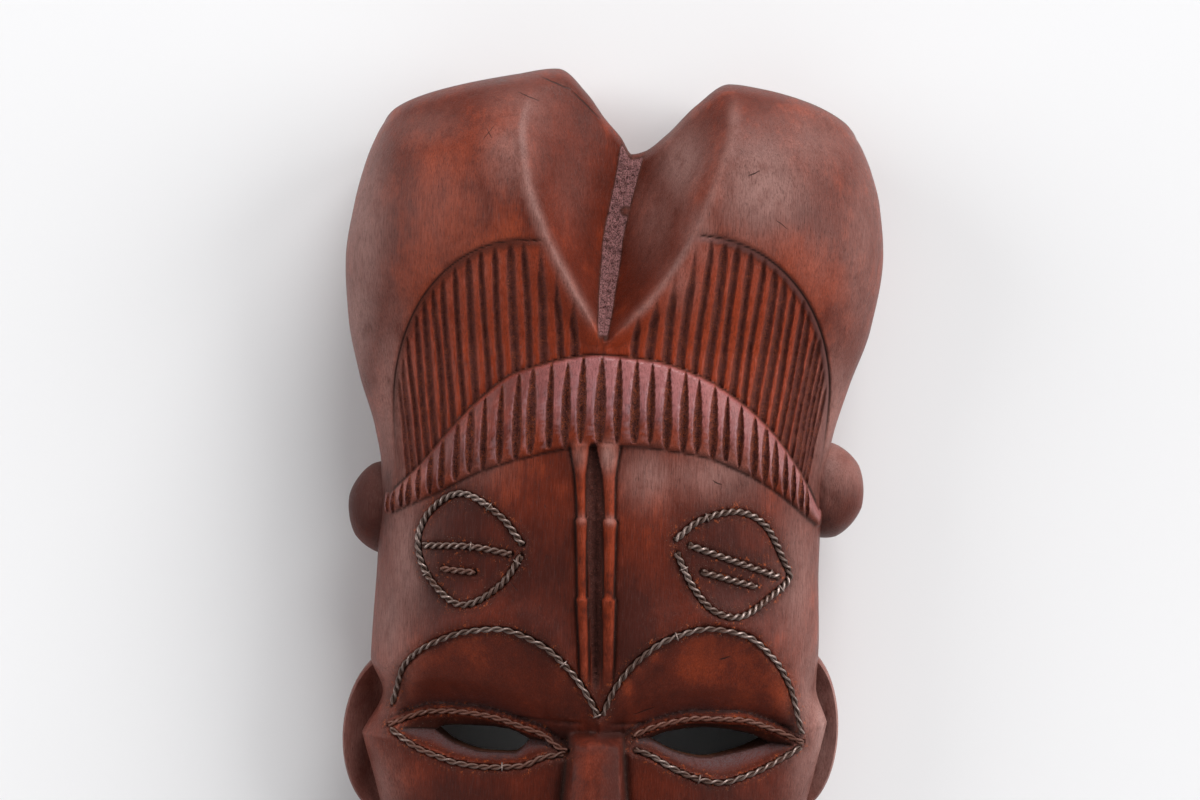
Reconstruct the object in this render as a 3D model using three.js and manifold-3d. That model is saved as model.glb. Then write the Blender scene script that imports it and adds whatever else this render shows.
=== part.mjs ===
// A carved wooden face mask with a two-lobed crest, fluted hair, a gouged headband and wire inlays.
//
// Millimetres. The mask lies on its back rim, face up: X is the viewer's right, Y runs up the mask
// towards the crest and Z stands out of the face. The origin is the middle of the resting rim.
import * as THREE from 'three';
import { mergeVertices } from 'three/addons/utils/BufferGeometryUtils.js';
import Module from 'manifold-3d';

const wasm = await Module();
wasm.setup();

// Overall sizes
const CREST_START_Y = 90;
const HOLLOW_WALL = 13;
const HOLLOW_TOP_Y = 98;
const HOLLOW_BOTTOM_Y = -166;

// Nail ledge: a square end cut into the top of the hollow, for hanging
const LEDGE_Y = 109;
const LEDGE_HALF_WIDTH = 18;
const LEDGE_DEPTH = 14;

// Rounding along the crest's top edge
const TOP_ROUND_REACH = 5;
const TOP_ROUND_DROP = 4;

// Brow, eye socket and the crease above the lid
const BROW_RISE = 3;
const SOCKET_DEPTH = 7;
const CREASE_ABOVE_LID = 3;
const CREASE_DEPTH = 4.5;
const CREASE_REACH = 10;

// Hair
const HAIR_DEPTH = 3.6;
const HAIR_GROOVES = 16;
const HAIR_GROOVE_DEPTH = 1.9;
const HAIR_KEEL_GAP = 4.5;
const HAIR_CENTRE_X = -2;
const HAIR_LEVEL_Y = 80;
const HAIR_FAN_RADIUS = 77;
const HAIR_FIRST_ANGLE = 7;
const HAIR_ANGLE_STEP = 3.8;
const HAIR_LEAN = 3.5;
const HAIR_LEAN_GAIN = 6.5;

// Headband
const BAND_END_X = 71;
const BAND_EDGE_RISE = 1.2;
const BAND_ROUND_RISE = 2.8;
const BAND_GOUGES = 29;
const BAND_GOUGE_DEPTH = 1.8;
const BAND_GOUGE_WIDTH = 3.2;
const BAND_RADIUS = 76;
const BAND_GOUGE_ANGLE = 4.2;
const BAND_CENTRE_X = -3;

// Wire: two strands twisted together, about 2.5 mm across the pair
const WIRE_RADIUS = 1.25;
const WIRE_CLEARANCE = 0.35;
const WIRE_STEP = 9;
const WIRE_LIFT = 0.5;

const WOOD = { color: 0x5b2016, roughness: 0.42, metalness: 0 };
const WIRE = { color: 0x5a5048, roughness: 0.45, metalness: 0.9 };

// A smooth curve through knots [t, value] that never overshoots between two of them
function through(knots) {
  const last = knots.length - 1;
  const secant = [];
  for (let i = 0; i < last; i += 1) {
    secant.push((knots[i + 1][1] - knots[i][1]) / (knots[i + 1][0] - knots[i][0]));
  }
  const tangent = knots.map((knot, i) => {
    if (i === 0) return secant[0];
    if (i === last) return secant[last - 1];
    const before = secant[i - 1];
    const after = secant[i];
    return before * after <= 0 ? 0 : (2 * before * after) / (before + after);
  });
  return (t) => {
    const inside = Math.min(Math.max(t, knots[0][0]), knots[last][0]);
    let i = 0;
    while (i < last - 1 && inside > knots[i + 1][0]) i += 1;
    const span = knots[i + 1][0] - knots[i][0];
    const s = (inside - knots[i][0]) / span;
    const rise = knots[i + 1][1] - knots[i][1];
    const ease = s * s * (3 - 2 * s);
    return knots[i][1] + rise * ease
      + span * (tangent[i] * s * (1 - s) * (1 - s) - tangent[i + 1] * s * s * (1 - s));
  };
}

const lerp = (a, b, t) => a + (b - a) * t;
const clamp = (value, low, high) => Math.min(Math.max(value, low), high);
const smoothstep = (low, high, value) => {
  const s = clamp((value - low) / (high - low), 0, 1);
  return s * s * (3 - 2 * s);
};
const bell = (distance, width) => Math.exp(-((distance / width) ** 2));
const degrees = (angle) => (angle * Math.PI) / 180;

const MERGE_DISTANCE = 1e-3;

// Outline seen from the front: left and right edge by height, top edge across
const leftEdge = through([
  [-184, -5], [-181, -14], [-176, -22], [-168, -31], [-155, -41], [-140, -49.5], [-120, -58],
  [-95, -65.5], [-64, -73], [-44, -79.1], [-43, -79.4], [-42, -78.95], [-29, -73], [-17, -77.6],
  [20, -76.6], [46, -76.6], [60, -79.2], [78, -85.3], [98, -90], [118, -91.66], [136, -89.5],
  [152, -85.8], [165.5, -80.5],
]);
const rightEdge = through([
  [-184, 7], [-181, 16], [-176, 24], [-168, 33], [-155, 43], [-140, 51], [-120, 58.5],
  [-95, 65], [-60, 72.5], [-35, 78], [-34, 78.2], [-33, 77.9], [-22, 74.2], [-9, 74.6],
  [20, 73.6], [46, 74.2], [62, 76.6], [80, 81.7], [100, 88.4], [124, 91.8], [142, 90],
  [154, 86.6], [165.5, 81.5],
]);
const topEdge = through([
  [-80.5, 165.5], [-75.8, 169], [-61.8, 174.3], [-35.6, 181], [-21.5, 184], [-11, 175.2],
  [-4.9, 167.4], [0.7, 161.6], [4.7, 156], [9, 157.2], [16.2, 162.8], [25.4, 172.4], [36.5, 180.2],
  [47, 178.9], [62.2, 175.3], [75.6, 169.8], [81.5, 165.5],
]);

// Lines that run up the mask: the middle, the valley of the crest and its two keels
const middle = through([
  [-184, 1], [-57, 1.1], [-34, 0.4], [-14, -0.9], [8, -1.8], [34, -2.9], [57, -4.2], [80, -3],
  [96, -2.5], [123, -0.9], [140, 1.8], [156, 4.7], [184, 8],
]);
const leftKeel = through([
  [90, -2.5], [98, -6.5], [108, -12.6], [127, -23], [143, -28.8], [160, -31], [170, -29.5],
  [184, -21.5],
]);
const rightKeel = through([
  [90, -2.5], [98, 5], [106, 12.2], [126, 24.4], [145, 31.6], [165, 36.6], [184, 36.5],
]);

// Heights above the resting rim, by height up the mask
const crownHeight = through([
  [-184, 28], [-180, 39], [-172, 49], [-160, 56], [-145, 59.5], [-120, 60], [-90, 60], [-60, 61],
  [-40, 63], [-20, 66], [0, 69], [30, 70.5], [57, 70], [72, 70.5], [88, 71.5], [110, 75],
  [130, 76], [150, 73], [165, 65], [176, 55], [184, 44],
]);
const edgeHeight = through([
  [-184, 24], [-150, 28], [-100, 32], [-43, 36], [-20, 34], [20, 33], [60, 32], [120, 30],
  [184, 27],
]);
const valleyHeight = through([
  [88, 71.5], [95, 66], [105, 58], [120, 50], [140, 44], [156, 40], [184, 38],
]);
const squareness = through([
  [-184, 2], [-150, 2.2], [-100, 2.7], [-43, 3.2], [0, 2.9], [50, 2.5], [90, 2.2], [184, 2.1],
]);

// Lines across the face: band, brows and eyes, each y by x
const bandTop = through([
  [-72, 38.5], [-61.5, 49], [-52, 60.7], [-42.6, 70.9], [-29.7, 80.6], [-3.6, 86.7], [13, 85.7],
  [29.7, 81], [43.2, 73.3], [53.4, 64.7], [63.9, 51.9], [72, 38.5],
]);
const bandBottom = through([
  [-72, 32], [-54.5, 40.8], [-41.6, 47.8], [-28.6, 52.5], [-10.6, 56.8], [8, 58], [30.6, 55.7],
  [44, 51.2], [55.7, 45.1], [72, 33],
]);
const FACE = [
  {
    side: -1,
    inner: -8.5,
    outer: -69.5,
    brow: through([
      [-76, -58], [-69.5, -34], [-68, -29], [-65, -18.5], [-55.7, -10], [-42.7, -4.8],
      [-32.9, -3.6], [-19.6, -7.9], [-9.5, -16.3], [-2.5, -26], [1.1, -33],
    ]),
    lidTop: through([
      [-69.5, -38.5], [-63, -35.9], [-55.2, -33.5], [-46, -33], [-38, -33.5], [-31.4, -34.8],
      [-24.1, -37], [-17.8, -39], [-12.5, -42.8], [-8.5, -44.4],
    ]),
    lidBottom: through([
      [-69.5, -39.3], [-62.8, -43.4], [-58.4, -45.6], [-54, -47], [-45.9, -49.2], [-37, -50],
      [-24.1, -49], [-16.8, -45.8], [-8.5, -44.4],
    ]),
    slitInner: -21.8,
    slitOuter: -54,
    slitTop: through([[-54, -40], [-50, -38.2], [-37, -37.8], [-29, -38.5], [-21.8, -41.5]]),
    slitBottom: through([[-54, -40], [-47, -44], [-36, -46.2], [-27, -45.9], [-21.8, -41.5]]),
  },
  {
    side: 1,
    inner: 9.6,
    outer: 69.5,
    brow: through([
      [1.1, -33], [5.6, -21.8], [13.4, -11.4], [23, -4.4], [35.9, -0.9], [47.5, -2.9],
      [57.6, -10.6], [64.6, -21.8], [67.7, -33], [75, -58],
    ]),
    lidTop: through([
      [9.6, -40.3], [13, -37.8], [20.9, -34.4], [34.1, -31.8], [47.3, -32], [59.1, -35.2],
      [69.5, -39.4],
    ]),
    lidBottom: through([
      [9.6, -40.3], [12.6, -42], [18, -43.8], [25.4, -47.8], [34.8, -51.4], [41.5, -52.3],
      [51.3, -49.6], [61, -45], [69.5, -40.2],
    ]),
    slitInner: 17.6,
    slitOuter: 58.5,
    slitTop: through([[17.6, -39.4], [25, -36.8], [37, -35.5], [50, -37], [58.5, -40.4]]),
    slitBottom: through([[17.6, -39.4], [27, -43.8], [36, -45.4], [47, -43.6], [58.5, -40.4]]),
  },
];

// How far a point lies towards the edge: 0 on the middle line or keel, 1 on the outline
function sideShare(x, y) {
  const left = y > CREST_START_Y ? leftKeel(y) : middle(y);
  const right = y > CREST_START_Y ? rightKeel(y) : middle(y);
  if (x < left) return clamp((left - x) / (left - leftEdge(y)), 0, 1);
  if (x > right) return clamp((x - right) / (rightEdge(y) - right), 0, 1);
  return 0;
}

// The broad form: a dome across the face, and two keels with a valley between them on the crest
function broadHeight(x, y) {
  const crown = crownHeight(y);
  const edge = edgeHeight(y);
  const share = sideShare(x, y);
  const round = Math.sqrt(1 - share ** squareness(y));
  const dome = edge + (crown - edge) * (0.9 * round + 0.1 * (1 - share));
  if (y <= CREST_START_Y || share > 0) return dome;
  const valley = middle(y);
  const keel = x < valley ? leftKeel(y) : rightKeel(y);
  const up = clamp((x - valley) / (keel - valley), 0, 1);
  return lerp(valleyHeight(y), crown, up * (0.8 + 0.2 * up));
}

// Brow ridge, eye socket, cheek, mouth and chin, added to the broad form
const SOCKET_SHARE = 0.35;
const SWELLINGS = [
  { aside: 42, wide: 20, y: -72, tall: 20, rise: 2.5 },
  { aside: 0, wide: 28, y: -132, tall: 20, rise: 9 },
  { aside: 0, wide: 18, y: -163, tall: 10, rise: 4 },
];

function faceRelief(x, y) {
  const centre = middle(y);
  const eye = x < centre ? FACE[0] : FACE[1];
  const fromCentre = Math.abs(x - centre);
  const browY = eye.brow(x);
  const slope = eye.brow(x + 0.5) - eye.brow(x - 0.5);
  const away = (y - browY) / Math.sqrt(1 + slope ** 2);
  const ridge = smoothstep(2, 16, fromCentre) * smoothstep(65, 54, fromCentre);
  const brow = BROW_RISE * bell(away - 2, 8) * ridge;
  const creaseY = eye.lidTop(x) + CREASE_ABOVE_LID;
  const room = Math.max(browY - creaseY, 2);
  const below = clamp((browY - y) / room, 0, 1);
  const regained = smoothstep(creaseY, eye.lidBottom(x) - 3, y);
  const inside = smoothstep(74, 64, fromCentre);
  const depth = Math.min(SOCKET_DEPTH, SOCKET_SHARE * room);
  const socket = -depth * below ** 1.3 * (1 - regained) * inside;
  return SWELLINGS.reduce(
    (sum, { aside, wide, y: at, tall, rise }) => (
      sum + rise * bell(fromCentre - aside, wide) * bell(y - at, tall)
    ),
    brow + socket,
  );
}

// The crest's top edge is rounded over, so it looks thin from the front
const topRounding = (x, y) => {
  const within = clamp((topEdge(x) - y) / TOP_ROUND_REACH, 0, 1);
  return -TOP_ROUND_DROP * (1 - within) ** 2;
};

// The wood's surface before the ornament is cut
const FACE_TOP_Y = 20;

function frontHeight(x, y) {
  const broad = broadHeight(x, y);
  if (y > CREST_START_Y) return broad + topRounding(x, y);
  return y > FACE_TOP_Y ? broad : broad + faceRelief(x, y);
}

// Turns rows of points into triangles; flip turns their faces over
function gridFaces(faces, first, rows, columns, wrap, flip) {
  const across = wrap ? columns : columns - 1;
  for (let r = 0; r < rows - 1; r += 1) {
    for (let c = 0; c < across; c += 1) {
      const a = first + r * columns + c;
      const b = first + r * columns + ((c + 1) % columns);
      const d = a + columns;
      const e = b + columns;
      if (flip) faces.push(a, d, b, b, d, e);
      else faces.push(a, b, d, b, e, d);
    }
  }
}

function geometryOf(points, faces) {
  const geometry = new THREE.BufferGeometry();
  geometry.setAttribute('position', new THREE.Float32BufferAttribute(points.flat(), 3));
  geometry.setIndex(faces);
  return geometry;
}

// A closed solid from rings of points, one after the other, with both ends capped
function loft(rings) {
  const count = rings[0].length;
  const points = rings.flat();
  const faces = [];
  gridFaces(faces, 0, rings.length, count, true, false);
  const ends = [[0, 0, true], [(rings.length - 1) * count, rings.length - 1, false]];
  for (const [first, ring, flip] of ends) {
    const hub = [0, 1, 2].map((axis) => rings[ring].reduce((sum, p) => sum + p[axis], 0) / count);
    points.push(hub);
    for (let c = 0; c < count; c += 1) {
      const a = first + c;
      const b = first + ((c + 1) % count);
      if (flip) faces.push(b, a, points.length - 1);
      else faces.push(a, b, points.length - 1);
    }
  }
  return solidOf(geometryOf(points, faces));
}

// A closed solid between an upper and a lower sheet of points with the same rows and columns
function slab(upper, lower) {
  const rows = upper.length;
  const columns = upper[0].length;
  const points = [...upper.flat(), ...lower.flat()];
  const faces = [];
  gridFaces(faces, 0, rows, columns, false, false);
  gridFaces(faces, rows * columns, rows, columns, false, true);
  const rim = rimOf(rows, columns);
  rim.forEach((a, i) => {
    const b = rim[(i + 1) % rim.length];
    faces.push(a, b + rows * columns, b, a, a + rows * columns, b + rows * columns);
  });
  return solidOf(geometryOf(points, faces));
}

// The indices around the border of a sheet, anticlockwise for rows that run up and columns right
function rimOf(rows, columns) {
  const rim = [];
  for (let c = 0; c < columns - 1; c += 1) rim.push(c);
  for (let r = 0; r < rows - 1; r += 1) rim.push(r * columns + columns - 1);
  for (let c = columns - 1; c > 0; c -= 1) rim.push((rows - 1) * columns + c);
  for (let r = rows - 1; r > 0; r -= 1) rim.push(r * columns);
  return rim;
}

// Geometry to solid, with its faces turned out
function solidOf(geometry, tolerance = 1e-4) {
  geometry.deleteAttribute('normal');
  geometry.deleteAttribute('uv');
  const merged = mergeVertices(geometry, tolerance);
  const build = (triVerts) => new wasm.Manifold(new wasm.Mesh({
    numProp: 3,
    vertProperties: new Float32Array(merged.attributes.position.array),
    triVerts,
  }));
  const faces = new Uint32Array(merged.index.array);
  const solid = build(faces);
  if (solid.volume() >= 0) return solid;
  return build(faces.reverse());
}

function bareGeometry(solid) {
  const { vertProperties, triVerts } = solid.getMesh();
  const geometry = new THREE.BufferGeometry();
  geometry.setAttribute('position', new THREE.Float32BufferAttribute(vertProperties, 3));
  geometry.setIndex([...triVerts]);
  return geometry;
}

// The largest body of a solid once points closer than a hair's breadth are one point
function withoutSlivers(solid) {
  const pieces = solidOf(bareGeometry(solid), MERGE_DISTANCE).decompose();
  return pieces.reduce((best, piece) => (piece.volume() > best.volume() ? piece : best));
}

function meshOf(solid, name, finish) {
  const geometry = bareGeometry(solid);
  geometry.computeVertexNormals();
  const mesh = new THREE.Mesh(geometry, new THREE.MeshStandardMaterial(finish));
  mesh.name = name;
  return mesh;
}

// Heights of the rows of the front sheet, closer where the carving is finer
const ROW_STOPS = [
  [-184, 1], [-181, 1], [-175, 1], [-166, 2], [-150, 4], [-118, 2], [-104, 4], [-60, 3], [-48, 3],
  [-30, 1], [-24, 4], [0, 3], [30, 2], [60, 3], [90, 0],
];
const CREST_ROWS = 8;
const CREST_LEVEL_Y = 170;
const CREST_PASSES = 4;
const OUTER_COLUMNS = 7;
const INNER_COLUMNS = 4;

function rowHeights() {
  const heights = [];
  for (let i = 0; i < ROW_STOPS.length - 1; i += 1) {
    const [from, count] = ROW_STOPS[i];
    for (let k = 0; k < count; k += 1) heights.push(lerp(from, ROW_STOPS[i + 1][0], k / count));
  }
  return heights;
}

// The strip beside the middle line that the inner columns fill: up to the keels on the crest
const innerReach = through([
  [-184, 4], [-176, 12], [-160, 20], [-100, 24], [-57, 16], [-33, 12], [57, 9], [90, 5], [98, 6],
]);

// Above this height the inner columns end on the keels
const KEELS_FROM_Y = 98;

// Column positions run from -1 on the left edge through 0 in the middle to 1 on the right edge
function columnX(share, y) {
  const centre = middle(y);
  const side = share < 0 ? -1 : 1;
  const edge = share < 0 ? leftEdge(y) : rightEdge(y);
  const keel = share < 0 ? leftKeel(y) : rightKeel(y);
  const reach = innerReach(y);
  const near = y > KEELS_FROM_Y ? keel : centre + side * reach;
  const inner = INNER_COLUMNS / (INNER_COLUMNS + OUTER_COLUMNS);
  const along = Math.abs(share);
  if (along <= inner) return lerp(centre, near, along / inner);
  const outward = (along - inner) / (1 - inner);
  return lerp(near, edge, Math.sin((outward * Math.PI) / 2) * 0.6 + outward * 0.4);
}

// Rows of points across the front; on the crest each column ends on the top edge, found in passes
function frontSheet() {
  const half = INNER_COLUMNS + OUTER_COLUMNS;
  const shares = [];
  for (let c = -half; c <= half; c += 1) shares.push(c / half);
  const rows = rowHeights().map((y) => shares.map((share) => [columnX(share, y), y]));
  for (let r = 0; r <= CREST_ROWS; r += 1) {
    const up = Math.sin(((r / CREST_ROWS) * Math.PI) / 2) * 0.5 + (r / CREST_ROWS) * 0.5;
    rows.push(shares.map((share) => {
      let top = topEdge(columnX(share, CREST_LEVEL_Y));
      for (let k = 0; k < CREST_PASSES; k += 1) top = topEdge(columnX(share, top));
      const y = lerp(CREST_START_Y, top, up);
      return [columnX(share, y), y];
    }));
  }
  return rows.map((row) => row.map(([x, y]) => [x, y, frontHeight(x, y)]));
}

// The block: front sheet, side walls that draw in a little, and a flat back
const WALL_RINGS = [[0.975, 0.985, 8], [0.94, 0.965, 0]];

function block() {
  const sheet = frontSheet();
  const rows = sheet.length;
  const columns = sheet[0].length;
  const points = sheet.flat();
  const faces = [];
  gridFaces(faces, 0, rows, columns, false, false);
  const rim = rimOf(rows, columns);
  let above = rim;
  for (const [scaleX, scaleY, z] of WALL_RINGS) {
    const below = rim.map((index) => {
      points.push([points[index][0] * scaleX, points[index][1] * scaleY, z]);
      return points.length - 1;
    });
    above.forEach((a, i) => {
      const next = (i + 1) % rim.length;
      faces.push(a, below[next], above[next], a, below[i], below[next]);
    });
    above = below;
  }
  const outline = above.map((index) => new THREE.Vector2(points[index][0], points[index][1]));
  for (const [a, b, c] of THREE.ShapeUtils.triangulateShape(outline, [])) {
    faces.push(above[a], above[c], above[b]);
  }
  return solidOf(geometryOf(points, faces));
}

// The hollow behind the face: its roof follows the front, a wall's thickness under it
const HOLLOW_ROWS = 12;
const HOLLOW_COLUMNS = 8;
const HOLLOW_END_HALF_WIDTH = 8;
const HOLLOW_ROOF_LIMIT = 62;
const BELOW_BACK = 3;

function hollowPoint(turn, across, lower) {
  const y = lerp(HOLLOW_BOTTOM_Y, HOLLOW_TOP_Y, (turn + 1) / 2);
  const end = Math.sqrt(Math.max(1 - turn ** 4, 0.02));
  const left = lerp(-HOLLOW_END_HALF_WIDTH, leftEdge(y) + HOLLOW_WALL, end);
  const right = lerp(HOLLOW_END_HALF_WIDTH, rightEdge(y) - HOLLOW_WALL, end);
  const x = lerp(left, right, (across + 1) / 2);
  const fall = Math.sqrt(Math.max((1 - across ** 4) * (1 - turn ** 6), 0));
  const roof = Math.min(broadHeight(x, y), HOLLOW_ROOF_LIMIT) - HOLLOW_WALL;
  return [x, y, lower ? -BELOW_BACK : -2 + (roof + 2) * fall];
}

function hollow() {
  const sheet = (lower) => {
    const rows = [];
    for (let r = 0; r <= HOLLOW_ROWS; r += 1) {
      const row = [];
      for (let c = 0; c <= HOLLOW_COLUMNS; c += 1) {
        const turn = -Math.cos((r / HOLLOW_ROWS) * Math.PI);
        const across = -Math.cos((c / HOLLOW_COLUMNS) * Math.PI);
        row.push(hollowPoint(turn, across, lower));
      }
      rows.push(row);
    }
    return rows;
  };
  return slab(sheet(false), sheet(true));
}

// The square ledge at the top end of the hollow, open to the back
const LEDGE_LENGTH = 24;

function ledge() {
  const geometry = new THREE.BoxGeometry(
    2 * LEDGE_HALF_WIDTH, LEDGE_LENGTH, LEDGE_DEPTH + BELOW_BACK,
  );
  geometry.translate(0, LEDGE_Y - LEDGE_LENGTH / 2, (LEDGE_DEPTH - BELOW_BACK) / 2);
  return solidOf(geometry);
}

// A tube along a path, with five-sided rings square to it
const TUBE_SIDES = 5;

function tube(path, radius) {
  const rings = path.map((point, i) => {
    const before = new THREE.Vector3(...path[Math.max(i - 1, 0)]);
    const after = new THREE.Vector3(...path[Math.min(i + 1, path.length - 1)]);
    const along = after.sub(before).normalize();
    const out = new THREE.Vector3(0, 0, 1).addScaledVector(along, -along.z).normalize();
    const across = new THREE.Vector3().crossVectors(along, out);
    const ring = [];
    for (let k = 0; k < TUBE_SIDES; k += 1) {
      const angle = degrees((360 * k) / TUBE_SIDES);
      ring.push(new THREE.Vector3(...point)
        .addScaledVector(out, radius * Math.cos(angle))
        .addScaledVector(across, radius * Math.sin(angle))
        .toArray());
    }
    return ring;
  });
  return loft(rings);
}

// Points a given step apart along a line through dense points
function evenly(points, step) {
  const curve = new THREE.CatmullRomCurve3(points.map(([x, y]) => new THREE.Vector3(x, y, 0)));
  curve.arcLengthDivisions = 400;
  const count = Math.max(Math.round(curve.getLength() / step), 1);
  return curve.getSpacedPoints(count).map(({ x, y }) => [x, y]);
}

// How far the band stands over the wood, from its lower edge at 0 to its upper edge at 1
const bandRise = (across) => BAND_EDGE_RISE + BAND_ROUND_RISE * Math.sin(Math.PI * across) ** 0.8;

// The headband: a half-round arch with upright lens-shaped gouges
const BAND_ROWS = [0, 0.3, 0.7, 1];
const BAND_SUNK = 7.6;

function band() {
  const half = (BAND_GOUGES - 1) / 2;
  const columns = [[-BAND_END_X, 0, 0]];
  for (let i = -half; i <= half; i += 1) {
    const angle = degrees(i * BAND_GOUGE_ANGLE);
    const x = BAND_CENTRE_X + BAND_RADIUS * Math.sin(angle);
    const width = BAND_GOUGE_WIDTH * Math.cos(angle);
    columns.push([x, -width, 0], [x, 0, 1], [x, width, 0]);
  }
  columns.push([BAND_END_X, 0, 0]);
  const sheet = (lower) => BAND_ROWS.map((across) => columns.map(([x, width, deep]) => {
    const lens = 0.12 + 0.88 * Math.sin(Math.PI * across) ** 0.6;
    const atX = x + (width / 2) * lens;
    const y = lerp(bandBottom(atX), bandTop(atX), across);
    const ground = frontHeight(atX, y);
    const top = ground + bandRise(across) - (deep ? BAND_GOUGE_DEPTH * lens : 0);
    return [atX, y, lower ? ground - BAND_SUNK : top];
  }));
  return slab(sheet(false), sheet(true));
}

// Hair: the area under each arc, as an ellipse that reaches further down than up
const HAIR = [
  { side: -1, x: -30, y: 72, wide: 42, up: 51.5, down: 85 },
  { side: 1, x: 28, y: 76, wide: 46, up: 51, down: 85 },
];

function underArc(hair, x, y) {
  const reach = y > hair.y ? hair.up : hair.down;
  const keel = hair.side < 0 ? leftKeel(y) - HAIR_KEEL_GAP : rightKeel(y) + HAIR_KEEL_GAP;
  const arc = ((x - hair.x) / hair.wide) ** 2 + ((y - hair.y) / reach) ** 2 < 1;
  const outside = hair.side * (x - hair.x) < 0 || arc;
  return outside && y < hair.y + hair.up && hair.side * (x - keel) > 0;
}

// The x of the arc's outer side at a height
function arcX(hair, y) {
  const reach = y > hair.y ? hair.up : hair.down;
  const share = clamp(1 - ((y - hair.y) / reach) ** 2, 0, 1);
  return hair.x + hair.side * hair.wide * Math.sqrt(share);
}

// Line number f of the fan of flutes, as x by height; the one past the last runs along the arc
function fluteX(hair, f, y) {
  if (f >= HAIR_GROOVES) return arcX(hair, y);
  const angle = degrees(HAIR_FIRST_ANGLE + HAIR_ANGLE_STEP * f);
  const offset = HAIR_FAN_RADIUS * Math.sin(angle);
  const lean = degrees(HAIR_LEAN + HAIR_LEAN_GAIN * (offset / HAIR_FAN_RADIUS) ** 2);
  return HAIR_CENTRE_X + hair.side * (offset + (y - HAIR_LEVEL_Y) * Math.tan(lean));
}

// A flute starts this far under the band's upper edge; its upper end is found by halving
const UNDER_BAND = 4;
const ABOVE_ARCS_Y = 130;
const HALVINGS = 24;

// The stretch of a flute from just under the band up to the arc or the keel
function fluteSpan(hair, f) {
  const last = Math.min(f, HAIR_GROOVES - 0.5);
  const bandY = bandTop(fluteX(hair, f, HAIR_LEVEL_Y));
  const low = bandTop(fluteX(hair, f, bandY)) - UNDER_BAND;
  let inside = low;
  let beyond = ABOVE_ARCS_Y;
  for (let k = 0; k < HALVINGS; k += 1) {
    const halfway = (inside + beyond) / 2;
    if (underArc(hair, fluteX(hair, last, halfway), halfway)) inside = halfway;
    else beyond = halfway;
  }
  return [low, last === f ? inside : inside - 1.5];
}

// The hair lies deep under the arc's top and nearly level with the wood at its lower ends
const hairDepthShare = through([[55, 0.4], [105, 1]]);

// What is cut away over one side's hair: its underside is the grooved surface that stays
const HAIR_ROWS = 3;
const HAIR_FIRST_LINE = -0.8;
const HAIR_CUT_SPREAD = 1.2;
const HAIR_CUT_BEYOND = 2;
const HAIR_CUT_ABOVE = 5;

function hairCut(hair) {
  const lines = [HAIR_FIRST_LINE];
  for (let f = 0; f <= HAIR_GROOVES; f += 0.5) lines.push(f);
  const spans = lines.map((f) => fluteSpan(hair, f));
  const sheet = (upper) => {
    const rows = [];
    for (let r = 0; r <= HAIR_ROWS; r += 1) {
      rows.push(lines.map((f, i) => {
        const y = lerp(spans[i][0], spans[i][1], r / HAIR_ROWS);
        const x = fluteX(hair, f, y);
        const ground = frontHeight(x, y);
        if (upper) {
          const outward = r === HAIR_ROWS ? HAIR_CUT_BEYOND : 0;
          return [x + hair.side * HAIR_CUT_SPREAD, y + outward, ground + HAIR_CUT_ABOVE];
        }
        const groove = Number.isInteger(f) && f < HAIR_GROOVES && r < HAIR_ROWS;
        const depth = HAIR_DEPTH * hairDepthShare(y) + (groove ? HAIR_GROOVE_DEPTH : 0);
        return [x, y, ground - depth];
      }));
    }
    return rows;
  };
  return slab(sheet(true), sheet(false));
}

// Round knobs at the ends of the band
const KNOBS = [
  { x: -74.5, y: 33, wide: 13.5, tall: 16 },
  { x: 75, y: 44.5, wide: 13.8, tall: 16.5 },
];
const KNOB_HALF_DEPTH = 15;
const KNOB_LEVEL = 26;

function knobs() {
  return KNOBS.map(({ x, y, wide, tall }) => {
    const ball = new THREE.SphereGeometry(1, 12, 6);
    ball.rotateX(Math.PI / 2);
    ball.scale(wide, tall, KNOB_HALF_DEPTH);
    ball.translate(x, y, KNOB_LEVEL);
    return solidOf(ball);
  });
}

// Ears: shallow oval dishes, as rings of [share of the outline, height]
const EARS = [{ x: -71, y: -44 }, { x: 67.5, y: -37 }];
const EAR_HALF_WIDTH = 15.3;
const EAR_HALF_HEIGHT = 28;
const EAR_RINGS = [[0.52, 9.5], [0.87, 14], [1, 23], [0.96, 35.8], [0.78, 33.8], [0.45, 31.2]];
const EAR_SIDES = 14;

function ears() {
  return EARS.map(({ x, y }) => loft(EAR_RINGS.map(([share, z]) => {
    const ring = [];
    for (let k = 0; k < EAR_SIDES; k += 1) {
      const angle = degrees((360 * k) / EAR_SIDES);
      ring.push([
        x + EAR_HALF_WIDTH * share * Math.cos(angle),
        y + EAR_HALF_HEIGHT * share * Math.sin(angle),
        z,
      ]);
    }
    return ring;
  })));
}

// Two thin rods carved down the forehead like bamboo; the left one is a little thinner
const RODS = [
  { x: through([[-34, -4.4], [-14, -4.9], [8, -6.4], [34, -7.6], [58, -9]]), share: 0.78 },
  { x: through([[-34, 3.2], [-14, 2.9], [8, 2.3], [34, 1.6], [58, 0.2]]), share: 0.96 },
];
const ROD_HALF_WIDTH = through([
  [-34, 1.5], [-16, 1.75], [4, 2.1], [7.4, 2.3], [8.4, 1.6], [14, 1.7], [30, 2.1], [33, 2.4],
  [34, 1.6], [47, 2.1], [52, 3], [58, 4.1],
]);
const ROD_RISE = through([
  [-27, -0.6], [-14, 1.8], [4, 2.3], [7.4, 2.9], [8.4, 1.5], [14, 1.9], [30, 2.4], [33, 3],
  [34, 1.6], [47, 2.2], [58, 2.6],
]);
const ROD_STATIONS = [-27, -14, 7.4, 8.4, 33, 34, 47, 52, 58];
const ROD_SECTION = [[-1, -2], [-0.85, 0.7], [0, 1], [0.85, 0.7], [1, -2]];

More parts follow.
